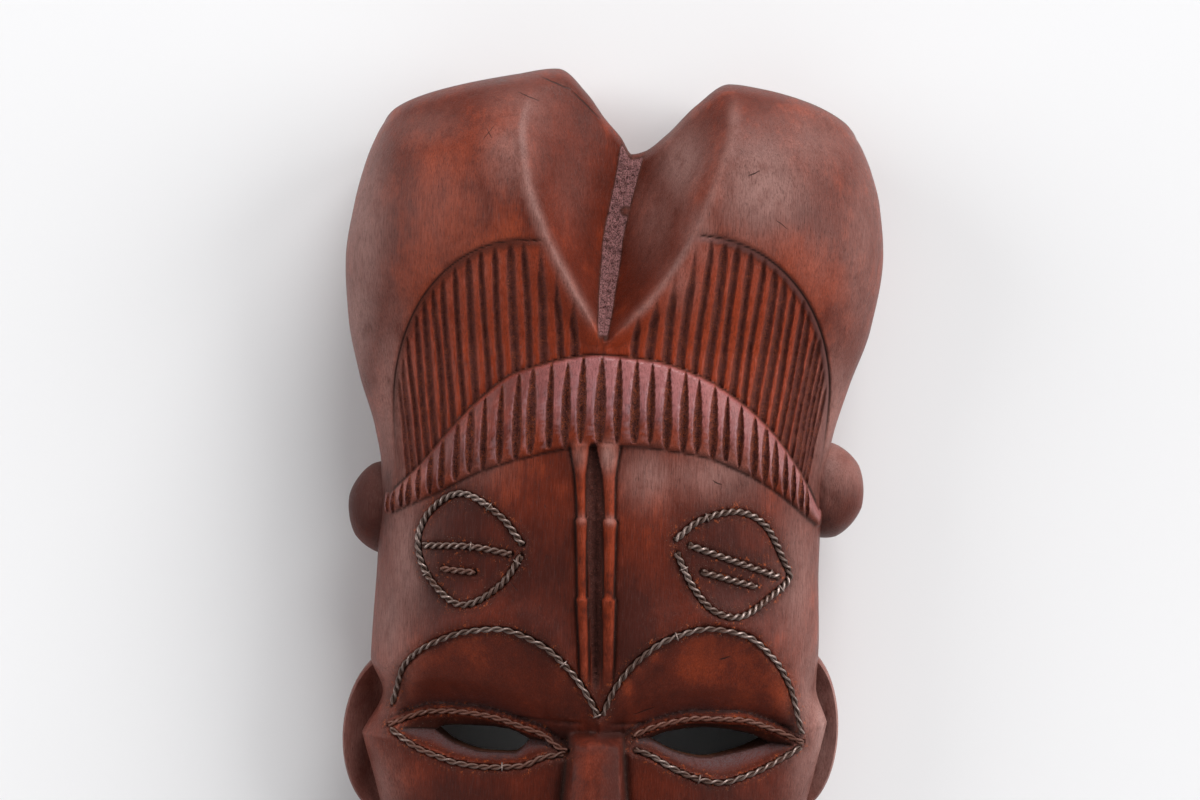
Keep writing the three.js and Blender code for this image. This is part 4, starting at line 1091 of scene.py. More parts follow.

# %% [markdown]
# The finish needs to know where it is on the wood. These marks are stored on the mesh as named
# attributes: the cuts from the carving, how sharply the surface bends in or out, the places that
# hands and cloths have rubbed bright, and the bare wood inside. Reading them from attributes keeps
# the pattern in place when the mesh changes.

# %% Places of wear, deep stain, and wax bloom with painted sheen
# middle x, middle y, half width, half height, strength
RUBBED_PLACES = (
    (-57, 128, 14, 30, 0.5), (-40, 118, 10, 12, 0.7), (-52, 140, 10, 10, 0.35),
    (60, 118, 22, 14, 0.4), (66, 145, 10, 12, 0.1), (16, 106, 7, 10, 0.6), (-12, 120, 6, 12, 0.15),
    (-6, 92, 3, 4, 0.6), (4, 92, 3, 4, 0.6), (-20, 22, 6, 22, 0.15), (15, 8, 6, 22, 0.25),
    (-5, -66, 2.4, 36, 0.1), (-42, -12, 24, 8, 0.42), (32, -11, 26, 9, 0.4), (63, -24, 4, 8, 0.8),
    (-12, -17, 8, 7, 0.4), (9.5, -20.5, 2.5, 4.5, 1.0), (13, -15, 3, 3.5, 1.0), (18, -11, 4, 3, 0.9),
    (-62, -56, 10, 8, 0.3), (-68, 34, 7, 12, 0.2),
    (40, 94, 30, 30, 0.5), (-45, 84, 24, 26, 0.15), (0, -133, 24, 12, 0.4), (1, -165, 16, 14, 0.3),
    (84, 44, 8, 14, 0.2), (-31, 66, 24, 8, 0.3))
DEEP_PLACES = (
    (-18, 4, 14, 28, 0.85), (12, -2, 12, 22, 1.0), (-36, -26, 26, 6, 0.1), (36, -25, 26, 6, 0.1),
    (-40, -70, 26, 18, 0.9), (42, -70, 26, 18, 1.1), (-56, 2, 12, 10, 0.5), (48, 46, 16, 8, 0.3),
    (-44, 20, 16, 17, 0.8), (44, 20, 17, 17, 0.8), (-10, 108, 7, 14, 0.4), (12, 112, 7, 14, 0.35),
    (4, -70, 8, 40, 1.3), (-10, -70, 5, 40, 0.9), (-78, 34, 10, 14, 1.0), (80, 44, 9, 12, 0.6),
    (-42, 48, 14, 8, 0.1), (0, -140, 60, 40, 0.5))
# wax bloom together with painted sheen: grey-pink patches where light glances off the crest, the ears
# and the rod nodes
BLOOM_AND_SHEEN_PLACES = (
    (-36, 152, 9, 14, 0.6), (-33, 166, 12, 10, 0.4), (47, 143, 15, 17, 1.0), (64, 160, 16, 14, 0.5),
    (21, 152, 8, 14, 0.9), (27, 128, 7, 12, 0.6), (22, 112, 7, 10, 0.5), (68, 126, 12, 20, 0.25),
    (14, 48, 9, 9, 0.75), (34, 50, 15, 8, 0.7), (-66, 18, 7, 26, 0.8), (66, 14, 7, 26, 0.7),
    (12, 134, 8, 14, 0.5), (-52, 132, 20, 28, 0.2), (-85, 126, 9, 36, 1.0), (-86, 98, 8, 22, 1.0),
    (82, 124, 9, 36, 0.5), (-70, -8, 8, 26, 0.8), (-72, -60, 8, 14, 0.5), (70, -30, 6, 40, 0.7),
    (-86, -44, 10, 26, 0.6), (80, -36, 9, 26, 1.5), (84, 52, 8, 8, 0.6), (-74, 70, 7, 26, 0.8),
    (76, 68, 8, 26, 0.8), (-15, 140, 7, 16, 0.16), (-64, 160, 14, 9, 0.3), (-72, 97, 8, 14, 0.3),
    (-42, 49, 13, 7, 0.25), (0.4, 54, 3, 5, 1.1),
    (-9, 54, 2.5, 4, 0.6), (1.9, 33.5, 2, 1.6, 0.8), (-7.4, 33.5, 2, 1.6, 0.5))
KEEL_HIGHLIGHT_WIDTH = 2.3


def places(listed, x, y):
    """The strongest of several soft spots."""
    found = np.zeros_like(x)
    for place_x, place_y, wide, tall, strength in listed:
        here = np.exp(-((x - place_x) / wide) ** 2 - ((y - place_y) / tall) ** 2)
        found = np.maximum(found, strength * here)
    return found


# a painted highlight: a grey line just outside each keel, where its rounded edge catches the light
def keel_bloom(x, y):
    near = np.maximum(bell(x - left_keel(y) + 0.8, KEEL_HIGHLIGHT_WIDTH),
                      bell(x - right_keel(y) - 0.8, KEEL_HIGHLIGHT_WIDTH))
    return 0.7 * near * step(CREST_START + 2, CREST_START + 14, y) * step(178, 165, y)


print("places rubbed, deep and bloomed",
      [len(listed) for listed in (RUBBED_PLACES, DEEP_PLACES, BLOOM_AND_SHEEN_PLACES)])

# %% Marks on the finished mesh
BEND_REACH = 0.8
SURFACE_TOLERANCE = 1.2
WEAR_FADES_FROM, WEAR_FADES_TO = 30, 8


def put_mark(mesh, name, values):
    attribute = mesh.attributes.new(name, "FLOAT", "POINT")
    attribute.data.foreach_set("value", np.asarray(values, np.float32))


def points_of(mesh):
    """The mesh's points as rows of x, y and z, in metres."""
    spots = np.empty(len(mesh.vertices) * 3)
    mesh.vertices.foreach_get("co", spots)
    return spots.reshape(-1, 3)


# the grain lifts the nose by a hair, and the wood stays inside the packed box
spots = np.clip(points_of(body.data), np.array(cad_low), np.array(cad_high))
body.data.vertices.foreach_set("co", spots.ravel())
x, y, z = (spots / MM).T
front, marks = carve(x, y)
around = sum(carve(x + dx, y + dy)[0] for dx, dy in
             ((BEND_REACH, 0), (-BEND_REACH, 0), (0, BEND_REACH), (0, -BEND_REACH))) / 4
on_front = (np.abs(front - z) < SURFACE_TOLERANCE) * (side_share(x, y) < 0.985)
upper = step(WEAR_FADES_TO, WEAR_FADES_FROM, z)
for name, values in marks.items():
    put_mark(body.data, name, values * on_front)
put_mark(body.data, "bend", np.clip((front - around) / 0.35, -1, 1) * on_front)
# bloom and sheen: the listed patches and the painted highlight along the keels
bloomed = np.maximum(places(BLOOM_AND_SHEEN_PLACES, x, y), keel_bloom(x, y))
for name, values in (("rubbed", places(RUBBED_PLACES, x, y)), ("deep", places(DEEP_PLACES, x, y)),
                     ("bloom", bloomed)):
    put_mark(body.data, name, values * upper)
left, right = hollow_edges(y)
in_hollow = (x > left - 2) & (x < right + 2) & (y > HOLLOW_BOTTOM - 1) & (y < HOLLOW_TOP + 1)
in_pocket = (np.abs(x) < LEDGE_HALF_WIDTH + 2) & (y > HOLLOW_TOP - 9) & (y < LEDGE_Y + 3)
inner = in_hollow | in_pocket
under_roof = (z < hollow_roof(x, y) + 1.5) & (front - z > SURFACE_TOLERANCE)
put_mark(body.data, "behind", inner & under_roof)
body.data.shade_smooth()
body.data.set_sharp_from_angle(angle=math.radians(50))
print("marks", [a.name for a in body.data.attributes if a.data_type == "FLOAT"])

# %% [markdown]
# Node graphs are easier to read as sums. An Output wraps one output socket, and Python's own
# operators add the Math nodes. They could be added and linked one by one, as by hand in the node
# editor, but a formula would then fill a page.

# %% Node graphs as Python sums
class Output:
    """A node's output that can be used in sums; every operator adds one Math node."""

    def __init__(self, graph, socket):
        self.graph, self.socket = graph, socket

    def maths(self, operation, *values):
        return self.graph.add("ShaderNodeMath", {"operation": operation}, dict(enumerate(values)))

    def __add__(self, other):
        return self.maths("ADD", self, other)

    def __sub__(self, other):
        return self.maths("SUBTRACT", self, other)

    def __mul__(self, other):
        return self.maths("MULTIPLY", self, other)

    def __truediv__(self, other):
        return self.maths("DIVIDE", self, other)

    def __pow__(self, other):
        return self.maths("POWER", self, other)

    def __rsub__(self, other):
        return self.maths("SUBTRACT", other, self)

    __radd__ = __add__
    __rmul__ = __mul__

    def held(self):
        """The value kept between 0 and 1."""
        return self.graph.add("ShaderNodeClamp", {}, {0: self})

    def between(self, low, high):
        """0 below low, 1 above high and a smooth rise between."""
        return self.graph.add("ShaderNodeMapRange", {"interpolation_type": "SMOOTHSTEP"},
                              {"Value": self, "From Min": low, "From Max": high})


print("an output has", [name for name in vars(Output) if not name.startswith("_")])

# %% [markdown]
# A Graph adds any other node from its type, its settings and what its sockets hold. The same two
# classes serve materials and Geometry Nodes.

# %% Graphs
class Graph:
    """Adds nodes to one tree."""

    def __init__(self, tree):
        self.tree = tree
        tree.nodes.clear()

    def add(self, kind, settings=None, inputs=None, output=0):
        node = self.tree.nodes.new(kind)
        for name, value in (settings or {}).items():
            setattr(node, name, value)
        for key, value in (inputs or {}).items():
            if isinstance(value, Output):
                self.tree.links.new(value.socket, node.inputs[key])
            else:
                node.inputs[key].default_value = value
        return Output(self, node.outputs[output]) if len(node.outputs) else node

    def blend(self, share, a, b):
        """From colour a to colour b."""
        return self.add("ShaderNodeMix", {"data_type": "RGBA"}, {0: share, 6: a, 7: b}, 2)

    def layers(self, colour, *layers):
        """Lays colours one over the other. Each layer is how much of it shows, and its colour."""
        for share, layer in layers:
            colour = self.blend(share, colour, layer)
        return colour

    def vector(self, operation, a, b):
        return self.add("ShaderNodeVectorMath", {"operation": operation}, {0: a, 1: b})

    def noise(self, place, size, detail=2.0, roughness=0.5, distortion=0.0):
        """Noise whose patches are about size millimetres along X, Y and Z."""
        scale = tuple(1 / (MM * s) for s in size)
        stretched = self.add("ShaderNodeMapping", {}, {"Vector": place, "Scale": scale})
        return self.add("ShaderNodeTexNoise", {}, {
            "Vector": stretched, "Scale": 1.0, "Detail": detail, "Roughness": roughness,
            "Distortion": distortion})

    def mark(self, name):
        return self.add("ShaderNodeAttribute", {"attribute_name": name}, {}, 2)


def new_material(name):
    material = bpy.data.materials.new(name)
    material.use_nodes = True
    return material, Graph(material.node_tree)


trial = Graph(bpy.data.node_groups.new("trial", "ShaderNodeTree"))
trial.add("ShaderNodeValue") * 2.0 + 1.0
print("a value times 2 plus 1 takes", len(trial.tree.nodes), "nodes")
bpy.data.node_groups.remove(trial.tree)

# %% [markdown]
# The wood: a red mahogany stain under wax. The stain lies dark in the deep places and thin where
# the wood was rubbed, and fine grain runs up the mask. Grey wax bloom with painted sheen lies on
# the keels and on patches that face the light, and a painted sheen on the band and the gouges'
# edges. An image texture would need unwrapping; noise on object coordinates doesn't.

# %% Colours and scratches of the wood
STAIN_DEEP = (0.050, 0.0078, 0.0038, 1)
STAIN_MIDDLE = (0.150, 0.0205, 0.0070, 1)
STAIN_THIN = (0.360, 0.0520, 0.0120, 1)
# the next four colours are painted light: grey wax bloom with painted sheen, painted sheen on the lower
# lid bevels, painted sheen on the band's upper half, and a painted highlight along the gouges' edges
WAX_BLOOM_AND_SHEEN = (0.330, 0.1780, 0.1550, 1)
LID_SHEEN = (0.100, 0.0700, 0.0730, 1)
PLATEAU_SHEEN = (0.370, 0.1380, 0.1400, 1)
GOUGE_EDGE_SHEEN = (0.330, 0.2150, 0.2350, 1)
HAIR_WOOD = (0.290, 0.0360, 0.0090, 1)
# a painted sheen on the lit arc bevel
ARC_BEVEL_SHEEN = (0.170, 0.0750, 0.0680, 1)
ROD_WOOD = (0.250, 0.0320, 0.0070, 1)
# dirt in pores, scratches and cuts, and painted shade in cuts and creases
CUT_DIRT_AND_SHADE = (0.024, 0.0085, 0.0058, 1)
PUNCHED_DARK = (0.060, 0.0190, 0.0140, 1)
PUNCHED_PALE = (0.310, 0.1400, 0.1400, 1)
FLUTE_FLOOR = (0.115, 0.0330, 0.0260, 1)
TORN_GRAIN = (0.165, 0.0480, 0.0380, 1)
BARE_FLECK = (0.450, 0.0950, 0.0230, 1)
DUST = (0.500, 0.3800, 0.3100, 1)
BACK_WOOD = (0.130, 0.0560, 0.0300, 1)
BACK_WOOD_DARK = (0.052, 0.0210, 0.0120, 1)
# start, end and half width of each scratch or crack, in millimetres
SCRATCHES = (
    ((-27, 179.6), (-16.5, 175.6), 0.3), ((-16.5, 175.6), (-6.6, 166.6), 0.35),
    ((-34.1, 173.3), (-26.7, 170.3), 0.2), ((42.1, 146.9), (46, 148.9), 0.25),
    ((-44.5, 156), (-41, 161), 0.15), ((-41.5, 156.5), (-43.5, 160), 0.15),
    ((34.9, 47.7), (38, 45.9), 0.25), ((39.3, -11.6), (43, -10.2), 0.3),
    ((12, -31), (19, -28.6), 0.2), ((-30, 12), (-27.5, 9), 0.15), ((52, 133), (56, 130.5), 0.15))


def scratch(x, y, start, end, half):
    """1 on a short line across the front, 0 beside it."""
    dx, dy = end[0] - start[0], end[1] - start[1]
    length = math.hypot(dx, dy)
    along = ((x - start[0]) * (dx / length) + (y - start[1]) * (dy / length)) / length
    beside = (x - start[0]) * (dy / length) - (y - start[1]) * (dx / length)
    thin_ends = (along * (1 - along) * 4).held() ** 0.5
    return thin_ends * (beside * beside / half ** 2).between(1, 0.3)


print("scratches and cracks", len(SCRATCHES))

# %% Stain, grain, wax and painted sheen
wood, g = new_material("waxed_red_wood")
place = g.add("ShaderNodeTexCoord", {}, {}, 3)
cloud = g.noise(place, (15, 26, 15), 3.0, 0.55)
mottle = g.noise(place, (4, 6, 4), 3.0, 0.6)
streak = g.noise(place, (0.9, 26, 0.9), 3.0, 0.6, 0.4)
fibre = g.noise(place, (0.28, 6, 0.28), 2.0, 0.6)
pore = g.noise(place, (0.22, 2.4, 0.22), 1.0, 0.4).between(0.62, 0.72)
speck = g.noise(place, (0.42, 0.62, 0.42), 2.0, 0.7)
patch = g.noise(place, (1.6, 2.2, 1.6), 2.0, 0.6)
grit = g.noise(place, (0.3, 0.3, 0.3), 1.0, 0.5)

bend_out, bend_in = g.mark("bend").held(), (g.mark("bend") * -1.0).held()
gouged, pitted, bruised = g.mark("gouged"), g.mark("pitted"), g.mark("bruised")
thin = (g.mark("rubbed") * 0.75 - g.mark("deep") * 0.6 + (cloud - 0.5) * 1.0 + (mottle - 0.5) * 0.45
        + (streak - 0.5) * 0.35 + bend_out * (mottle - 0.3) * 0.8)
stain = g.blend((thin * 1.5 + 0.62).held(), STAIN_DEEP, STAIN_MIDDLE)
# painted sheen: the bloom mark, and a little on every outward bend, in the grey of wax bloom
bloom = (g.mark("bloom") * mottle.between(-0.1, 0.6) + bend_out * mottle.between(0.45, 0.7) * 0.1)
colour = g.layers(
    stain,
    ((thin * 1.5 - 0.12).held(), STAIN_THIN),
    ((g.mark("rod") * (mottle.between(0.25, 0.6) * 0.8)).held(), ROD_WOOD),
    (g.mark("ribbed") * (0.5 + mottle * 0.5), HAIR_WOOD),
    # painted sheen on the band's upper half, wax bloom with painted sheen, and a painted highlight
    # along the gouges' edges
    ((g.mark("plateau") * (0.6 + mottle * 0.4)).held(), PLATEAU_SHEEN),
    ((bloom * 0.8).held(), WAX_BLOOM_AND_SHEEN),
    (g.mark("rim") * (0.3 + mottle * 0.5), GOUGE_EDGE_SHEEN),
    (fibre.between(0.4, 0.75) * 0.42, STAIN_DEEP),
    (fibre.between(0.5, 0.25) * (0.06 + bloom * 0.12), WAX_BLOOM_AND_SHEEN),
    (speck.between(0.5, 0.75) * 0.3, STAIN_DEEP),
    (pore * 0.45, CUT_DIRT_AND_SHADE))
print("stain and wax", len(wood.node_tree.nodes), "nodes")

# %% [markdown]
# Tools leave their own colours: torn pale grain in a gouge, dark dirt and polish in every cut, grey
# points where a punch struck. Cuts and creases are also painted dark for the shade that falls in
# them, and the lit arc bevels and lower lids get a painted sheen. The marks say where, and noise
# breaks them up. Each colour is laid over the one before, which is easier to follow than one large
# mix of all of them.

# %% Cuts, punch marks, painted shade and painted sheen
fluted, dark = g.mark("fluted"), g.mark("dark")
# painted shade and dirt: the dark mark and every inward bend, in the colour of cut dirt
cut_shade_and_dirt = (dark * 0.9 + bend_in * 0.5 * (1 - gouged - fluted).held()).held()
punched = g.blend(pitted.between(0.55, 0.95), PUNCHED_DARK, PUNCHED_PALE)
colour = g.layers(
    colour,
    # painted sheen on the arc bevel of the lit side
    (g.mark("bevelled") * 0.8, ARC_BEVEL_SHEEN),
    (fluted * 0.9, FLUTE_FLOOR),
    (fluted * speck.between(0.45, 0.68) * 0.5, CUT_DIRT_AND_SHADE),
    (gouged * 0.9, TORN_GRAIN),
    (gouged * speck.between(0.42, 0.64) * 0.8, CUT_DIRT_AND_SHADE),
    (cut_shade_and_dirt, CUT_DIRT_AND_SHADE),
    ((pitted * 1.4).held() * 0.9, punched),
    (pitted * speck.between(0.56, 0.4) * 0.8, CUT_DIRT_AND_SHADE),
    # painted sheen on the lower lid bevels and painted light in the creases above the lids
    (g.mark("lid_bloom") * (0.25 + speck.between(0.62, 0.42) * 0.6), LID_SHEEN))
print("with the cuts", len(wood.node_tree.nodes), "nodes")

# %% Flecks, dust, scratches and the bare wood behind
fleck = (bruised * patch.between(0.56, 0.68) * speck.between(0.44, 0.62)).held()
gouge_fleck = ((gouged + fluted * 0.5) * patch.between(0.4, 0.6) * grit.between(0.5, 0.62)
               + pitted * grit.between(0.66, 0.72) * 0.5).held()
dust = (((dark + pitted + bruised).held() + 0.12) * grit.between(0.735, 0.76)).held()
sides = g.add("ShaderNodeSeparateXYZ", {}, {"Vector": place})
across_mm, up_mm, height_mm = (Output(g, sides.socket.node.outputs[i]) / MM for i in range(3))
up_mm = up_mm + (mottle - 0.5) * 1.2
facing = g.add("ShaderNodeSeparateXYZ", {}, {
    "Vector": Output(g, g.add("ShaderNodeNewGeometry").socket.node.outputs["Normal"])}, 2)
scratched = 0.0
for start, end, half in SCRATCHES:
    scratched = scratch(across_mm, up_mm, start, end, half) + scratched
scratched = (scratched * facing.between(0.05, 0.2)).held()
behind = (g.mark("behind") + height_mm.between(2.0, 0.8)).held()
bare_wood = g.blend((streak * 0.9 + (cloud - 0.5) * 1.4 + (fibre - 0.5) * 0.5).held(),
                    BACK_WOOD_DARK, BACK_WOOD)
colour = g.layers(colour, (fleck * 0.7, BARE_FLECK), (gouge_fleck * 0.7, BARE_FLECK),
                  (dust * 0.55, DUST), (scratched * 0.85, CUT_DIRT_AND_SHADE), (behind, bare_wood))
print("with the wear", len(wood.node_tree.nodes), "nodes")

# %% [markdown]
# Wax makes rubbed wood shine and leaves cuts dull, so roughness and a thin clear coat follow the
# same marks. The finest relief is only a bump in the shader, because at about a tenth of a
# millimetre it would need millions of faces.

# %% Roughness, polish and fine relief
rough_places = (gouged + fluted + dark + pitted + behind).held()
roughness = (0.36 + (cloud - 0.5) * 0.14 + (mottle - 0.5) * 0.2 + (fibre - 0.5) * 0.14
             + rough_places * 0.3 + g.mark("bloom") * 0.12 + g.mark("deep") * 0.3
             + g.mark("rod") * 0.4).held()
polish = (0.02 + g.mark("rubbed") * 0.15 * (1 - g.mark("rod")) + g.mark("plateau") * 0.25).held()
relief = ((streak - 0.5) * 0.05 + (fibre - 0.5) * 0.09 + (mottle - 0.5) * 0.25 - pore * 0.05
          + (speck - 0.5) * (gouged + fluted + pitted) * 0.6 + (speck - 0.5) * bruised * 0.2
          + (speck - 0.5) * 0.035 - scratched * 0.25)
bump = g.add("ShaderNodeBump", {}, {"Height": relief * MM, "Distance": 1.0, "Strength": 1.0})
shader = g.add("ShaderNodeBsdfPrincipled", {}, {
    "Base Color": colour, "Roughness": roughness, "Normal": bump, "IOR": 1.5,
    "Specular IOR Level": 0.14, "Coat Weight": (1 - rough_places) * polish,
    "Coat Roughness": 0.25, "Coat IOR": 1.45})
g.add("ShaderNodeOutputMaterial", {}, {"Surface": shader})
body.data.materials.clear()
body.data.materials.append(wood)
print("wood", len(wood.node_tree.nodes), "nodes")

# %% [markdown]
# The wires: two thin strands twisted together and pressed into the cuts. Geometry Nodes wind two
# strands round each path, because the twist follows the path whatever its shape, and pitch and
# strand size stay inputs that can be tried out.

# %% Twisted wire, as Geometry Nodes
STRAND_RADIUS = 0.54
STRAND_OFFSET = 0.50
STEP_ALONG = 0.4
STRAND_SIDES = 8
WIRE_INPUTS = (
    ("Path", "Geometry", None), ("Strand radius", "Float", STRAND_RADIUS * MM),
    ("Strand offset", "Float", STRAND_OFFSET * MM), ("Pitch", "Float", 5 * MM),
    ("Step", "Float", STEP_ALONG * MM), ("Seed", "Float", 0.0), ("Material", "Material", None))


def add_sockets(tree):
    """Gives the tree its output and its inputs, and returns the identifier of each input."""
    sockets = {}
    tree.interface.new_socket("Geometry", in_out="OUTPUT", socket_type="NodeSocketGeometry")
    for name, kind, value in WIRE_INPUTS:
        socket = tree.interface.new_socket(name, in_out="INPUT", socket_type="NodeSocket" + kind)
        if value is not None:
            socket.default_value = value
        sockets[name] = socket.identifier
    return sockets


def wind(tree):
    """Adds the nodes that wind two strands round the path."""
    graph = Graph(tree)
    given = tree.nodes.new("NodeGroupInput")

    def given_by(name):
        return Output(graph, given.outputs[name])

    path = graph.add("GeometryNodeResampleCurve", {"mode": "LENGTH"},
                     {"Curve": given_by("Path"), "Length": given_by("Step")})
    pair = graph.add("GeometryNodeDuplicateElements", {"domain": "SPLINE"},
                     {"Geometry": path, "Amount": 2})
    copy_number = Output(graph, pair.socket.node.outputs["Duplicate Index"])
    length = graph.add("GeometryNodeSplineParameter", {}, {}, "Length")
    where = graph.add("GeometryNodeInputPosition")
    uneven = graph.add("ShaderNodeTexNoise", {"noise_dimensions": "4D"},
                       {"Vector": where, "W": given_by("Seed"), "Scale": 120.0, "Detail": 0.0})
    loose = (uneven - 0.5) * 0.12
    turn = length / given_by("Pitch") + copy_number * 0.5 + given_by("Seed") + loose
    angle = turn * (2 * math.pi)
    tangent = graph.add("GeometryNodeInputTangent")
    aside = graph.vector("NORMALIZE", graph.vector("CROSS_PRODUCT", tangent, (0, 0, 1)), (0, 0, 0))
    upward = graph.vector("CROSS_PRODUCT", aside, tangent)
    spread = given_by("Strand offset") * (uneven * 0.3 + 0.85)
    sideways = graph.add("ShaderNodeVectorMath", {"operation": "SCALE"},
                         {0: aside, "Scale": spread * angle.maths("COSINE", angle)})
    lifted = graph.add("ShaderNodeVectorMath", {"operation": "SCALE"},
                       {0: upward, "Scale": spread * angle.maths("SINE", angle)})
    wound = graph.add("GeometryNodeSetPosition", {}, {
        "Geometry": pair, "Offset": graph.vector("ADD", sideways, lifted)})
    section = graph.add("GeometryNodeCurvePrimitiveCircle", {},
                        {"Resolution": STRAND_SIDES, "Radius": given_by("Strand radius")})
    strands = graph.add("GeometryNodeCurveToMesh", {}, {
        "Curve": wound, "Profile Curve": section, "Fill Caps": True})
    whole = graph.add("GeometryNodeRealizeInstances", {}, {"Geometry": strands})
    smooth = graph.add("GeometryNodeSetShadeSmooth", {}, {"Geometry": whole})
    finished = graph.add("GeometryNodeSetMaterial", {}, {
        "Geometry": smooth, "Material": given_by("Material")})
    out = tree.nodes.new("NodeGroupOutput")
    tree.links.new(finished.socket, out.inputs[0])


twist = bpy.data.node_groups.new("twisted_wire", "GeometryNodeTree")
twist_inputs = add_sockets(twist)
wind(twist)
print("twisted wire inputs", list(twist_inputs), "and", len(twist.nodes), "nodes")

# %% [markdown]
# Old wire: dark bronze-brown tarnish, rubbed to bare grey metal where a strand stands out, which
# the mark "outward" says. Some lengths were brushed over with the wood stain: the mark "stained".

# %% Tarnished wire
TARNISH = (0.062, 0.030, 0.020, 1)
RUBBED_METAL = (0.380, 0.290, 0.260, 1)
STAINED_OVER = (0.130, 0.045, 0.028, 1)

wire_metal, g = new_material("tarnished_wire")
place = g.add("ShaderNodeTexCoord", {}, {}, 3)
film = g.noise(place, (1.8, 1.8, 1.8), 3.0, 0.6)
fine = g.noise(place, (0.3, 0.3, 0.3), 2.0, 0.6)
lengths = g.noise(place, (11, 11, 11), 1.0, 0.5)
worn = g.mark("outward").between(0.86, 1.05)
bare = (worn * (0.45 + film.between(0.35, 0.65) * 0.6) + (fine - 0.5) * 0.3
        - g.mark("stained") * 0.75 - (0.55 - lengths) * 1.6).held()
colour = g.blend((g.mark("stained") + (film - 0.5) * 0.8 + (0.5 - lengths)).held(),
                 TARNISH, STAINED_OVER)
colour = g.blend(bare, colour, RUBBED_METAL)
bump = g.add("ShaderNodeBump", {}, {"Height": fine * (0.04 * MM), "Distance": 1.0})
shader = g.add("ShaderNodeBsdfPrincipled", {}, {
    "Base Color": colour, "Metallic": 0.2 + bare * 0.7, "Normal": bump,
    "Roughness": 0.5 - bare * 0.2 + (fine - 0.5) * 0.1})
g.add("ShaderNodeOutputMaterial", {}, {"Surface": shader})
print("wire finish", len(wire_metal.node_tree.nodes), "nodes")

# %% [markdown]
# Each wire's path is lifted on to the wood and wound by the tree above. The result becomes a plain
# mesh, because only a plain mesh can carry the marks for the finish and be shared with others.

# %% Lay the wires
ORNAMENT_PITCH, ORNAMENT_STRAND = 5.6, 0.56
FACE_PITCH, FACE_STRAND = 7.6, 0.48
OFFSET_SHARE = 1.05
STAINED_WIRES = {"left_eye_upper": 1.0, "right_eye_upper": 0.9, "left_eye_lower": 0.4,
                 "left_ornament_long_bar": 0.2, "left_ornament_short_bar": 0.5}


def outward_share(mesh, path, reach):
    """How far each point stands out from the middle of its pair of strands, 0 to about 1."""
    x, y, z = (points_of(mesh) / MM).T
    far, at = from_path(path, x, y)
    return np.hypot(far, z - front_height(at[:, 0], at[:, 1]) - WIRE_LIFT) / reach


def lay_wire(name, path, number):
    """One wire: its path on the wood becomes a curve, and the tree winds the strands round it."""
    heights = front_height(path[:, 0], path[:, 1]) + WIRE_LIFT
    curve = bpy.data.curves.new(name, "CURVE")
    curve.dimensions = "3D"
    spline = curve.splines.new("POLY")
    spline.points.add(len(path) - 1)
    co = np.column_stack([path * MM, heights * MM, np.ones(len(path))])
    spline.points.foreach_set("co", co.ravel())
    line = linked(name + "_path", curve)
    modifier = line.modifiers.new("twist", "NODES")
    modifier.node_group = twist
    ornament = "ornament" in name
    pitch = ORNAMENT_PITCH if ornament else FACE_PITCH
    strand = ORNAMENT_STRAND if ornament else FACE_STRAND
    for key, value in (("Pitch", pitch * MM), ("Strand radius", strand * MM),
                       ("Strand offset", strand * OFFSET_SHARE * MM), ("Seed", number * 0.37),
                       ("Material", wire_metal)):
        modifier[twist_inputs[key]] = value
    mesh = evaluated_mesh(line)
    bpy.data.objects.remove(line)
    put_mark(mesh, "stained", np.full(len(mesh.vertices), STAINED_WIRES.get(name, 0.0)))
    put_mark(mesh, "outward", outward_share(mesh, path, strand * (1 + OFFSET_SHARE)))
    made = linked(name + "_twisted", mesh)
    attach(made, "root")
    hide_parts(name + "_wire")
    return made


for number, (name, path) in enumerate(WIRES.items()):
    made = lay_wire(name, path, number)
    print(made.name, len(made.data.polygons), "faces")

# %% [markdown]
# A few fine staples hold the wires where they want to spring out. Each is a thin half ring over
# the wire, driven into the wood on both sides.

# %% Staples
STAPLE_SPAN = 1.35
STAPLE_RADIUS = 0.28
STAPLES = (
    ("left_ornament_outline", 0.16), ("left_ornament_outline", 0.62), ("left_ornament_outline", 0.97),
    ("left_ornament_long_bar", 0.5), ("right_ornament_outline", 0.12), ("right_ornament_outline", 0.55),
    ("right_ornament_outline", 0.96), ("right_ornament_long_bar", 0.93), ("left_brow", 0.73),
    ("left_brow", 0.99), ("right_brow", 0.4), ("right_eye_lower", 0.43), ("left_eye_lower", 0.6))


def staple(path, share):
    """Rings of points along a half ring that stands across the path."""
    i = min(max(round(share * (len(path) - 1)), 1), len(path) - 2)
    along = path[i + 1] - path[i - 1]
    along = along / np.linalg.norm(along)
    aside = np.array([-along[1], along[0], 0])
    up = np.array([0, 0, 1.0])
    foot = np.array([*path[i], float(front_height(path[i][0], path[i][1])) - 0.3])
    rings = []
    for lift in np.radians(np.linspace(0, 180, 13)):
        out = aside * np.cos(lift) + up * np.sin(lift)
        centre = foot + STAPLE_SPAN * out
        across = np.array([*along, 0])
        turn = np.radians(np.arange(0, 360, 60))[:, None]
        rings.append(centre + STAPLE_RADIUS * (np.cos(turn) * out + np.sin(turn) * across))
    return rings


def joined(name, made):
    """One object from several: a piece may hold many small closed parts."""
    work = bmesh.new()
    for part in made:
        work.from_mesh(part.data)
        bpy.data.objects.remove(part)
    mesh = bpy.data.meshes.new(name)
    work.to_mesh(mesh)
    work.free()
    return linked(name, mesh)


staples = joined("wire_staples", [turn_out(loft("staple", staple(WIRES[name], share)))
                                  for name, share in STAPLES])
staples.data.shade_smooth()
staples.data.materials.append(wire_metal)
put_mark(staples.data, "stained", np.zeros(len(staples.data.vertices)))
put_mark(staples.data, "outward", np.ones(len(staples.data.vertices)))
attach(staples, "root")
print("staples", len(STAPLES), "on", len({name for name, _ in STAPLES}), "wires")

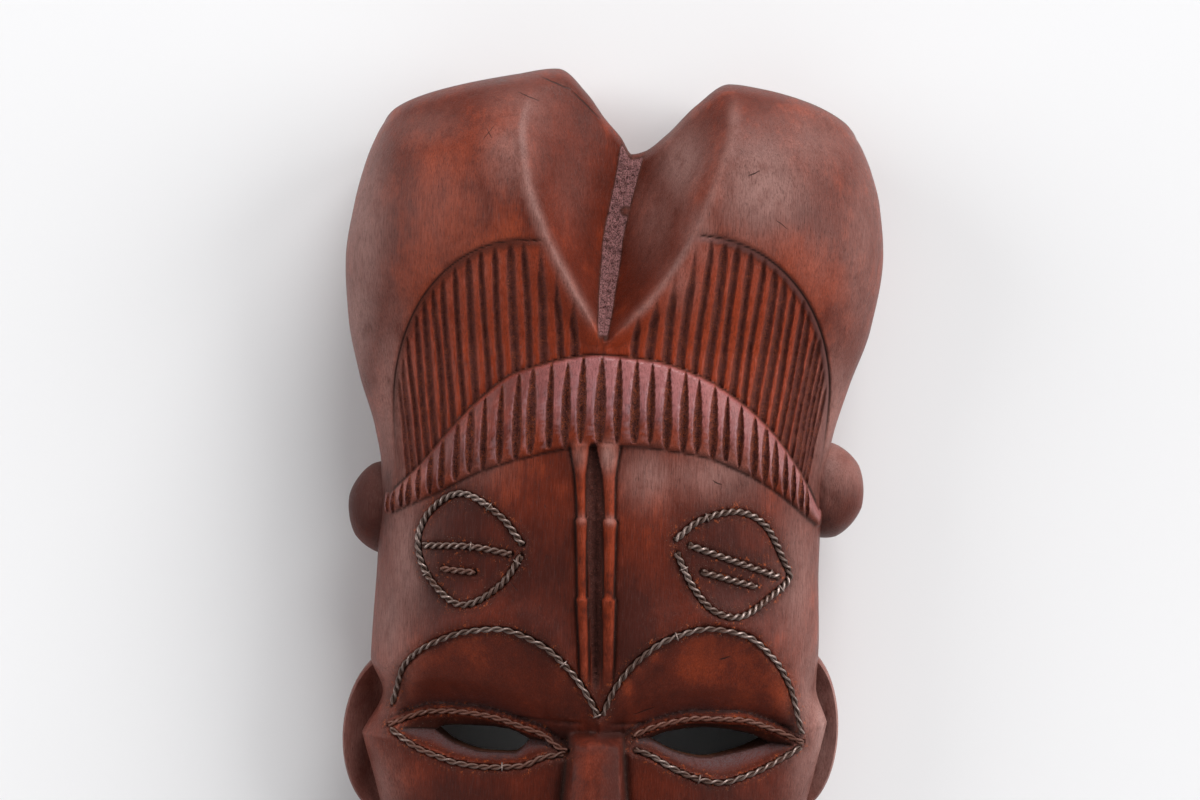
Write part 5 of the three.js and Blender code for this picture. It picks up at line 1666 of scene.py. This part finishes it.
# %% [markdown]
# The carved wood stands for the plain solid of the mask and moves with the same body. The solid
# could be moved or reshaped instead, but it has to stay as it was packed, so it is only hidden.

# %% The body in the frame
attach(body, "root")
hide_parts("mask_body")
print(body.name, "stands for mask_body")

# %% [markdown]
# A pale floor and soft daylight, as under a bright cloudy sky: most of it comes from beyond the
# crest and from the right. Suns with a very wide disc give soft light that is even over the whole
# floor; area lamps would leave the corners darker.

# %% Floor, lights and world
FLOOR_HALF = 2.5
DAYLIGHT = (
    SimpleNamespace(name="sky_beyond_crest", side=22, height=25, strength=3.0, disc=42),
    SimpleNamespace(name="sky_right", side=78, height=25, strength=1.9, disc=46),
    SimpleNamespace(name="sky_left", side=-80, height=23, strength=1.3, disc=46),
    SimpleNamespace(name="sky_near", side=180, height=33, strength=0.3, disc=70))


def wide_sun(name, side, height, strength, disc):
    """side counts from beyond the crest towards the right, height from the floor, in degrees."""
    data = bpy.data.lights.new(name, "SUN")
    data.energy = strength
    data.angle = math.radians(disc)
    lamp = linked(name, data)
    flat = math.cos(math.radians(height))
    toward = Vector((flat * math.sin(math.radians(side)), flat * math.cos(math.radians(side)),
                     math.sin(math.radians(height))))
    lamp.rotation_euler = toward.to_track_quat("Z", "Y").to_euler()
    lamp.location = toward


floor = mesh_object("pale_floor", np.array([(-1, -1, 0), (1, -1, 0), (1, 1, 0), (-1, 1, 0)])
                    * FLOOR_HALF / MM, [(0, 1, 2, 3)])
pale, g = new_material("pale_floor")
shader = g.add("ShaderNodeBsdfPrincipled", {}, {
    "Base Color": (0.86, 0.855, 0.86, 1), "Roughness": 0.9})
g.add("ShaderNodeOutputMaterial", {}, {"Surface": shader})
floor.data.materials.append(pale)

for sky in DAYLIGHT:
    wide_sun(**vars(sky))
world = bpy.data.worlds.new("studio")
world.use_nodes = True
world.node_tree.nodes["Background"].inputs["Color"].default_value = (0.95, 0.97, 1.0, 1)
world.node_tree.nodes["Background"].inputs["Strength"].default_value = 0.26
bpy.context.scene.world = world
bpy.context.scene.view_settings.view_transform = "Standard"
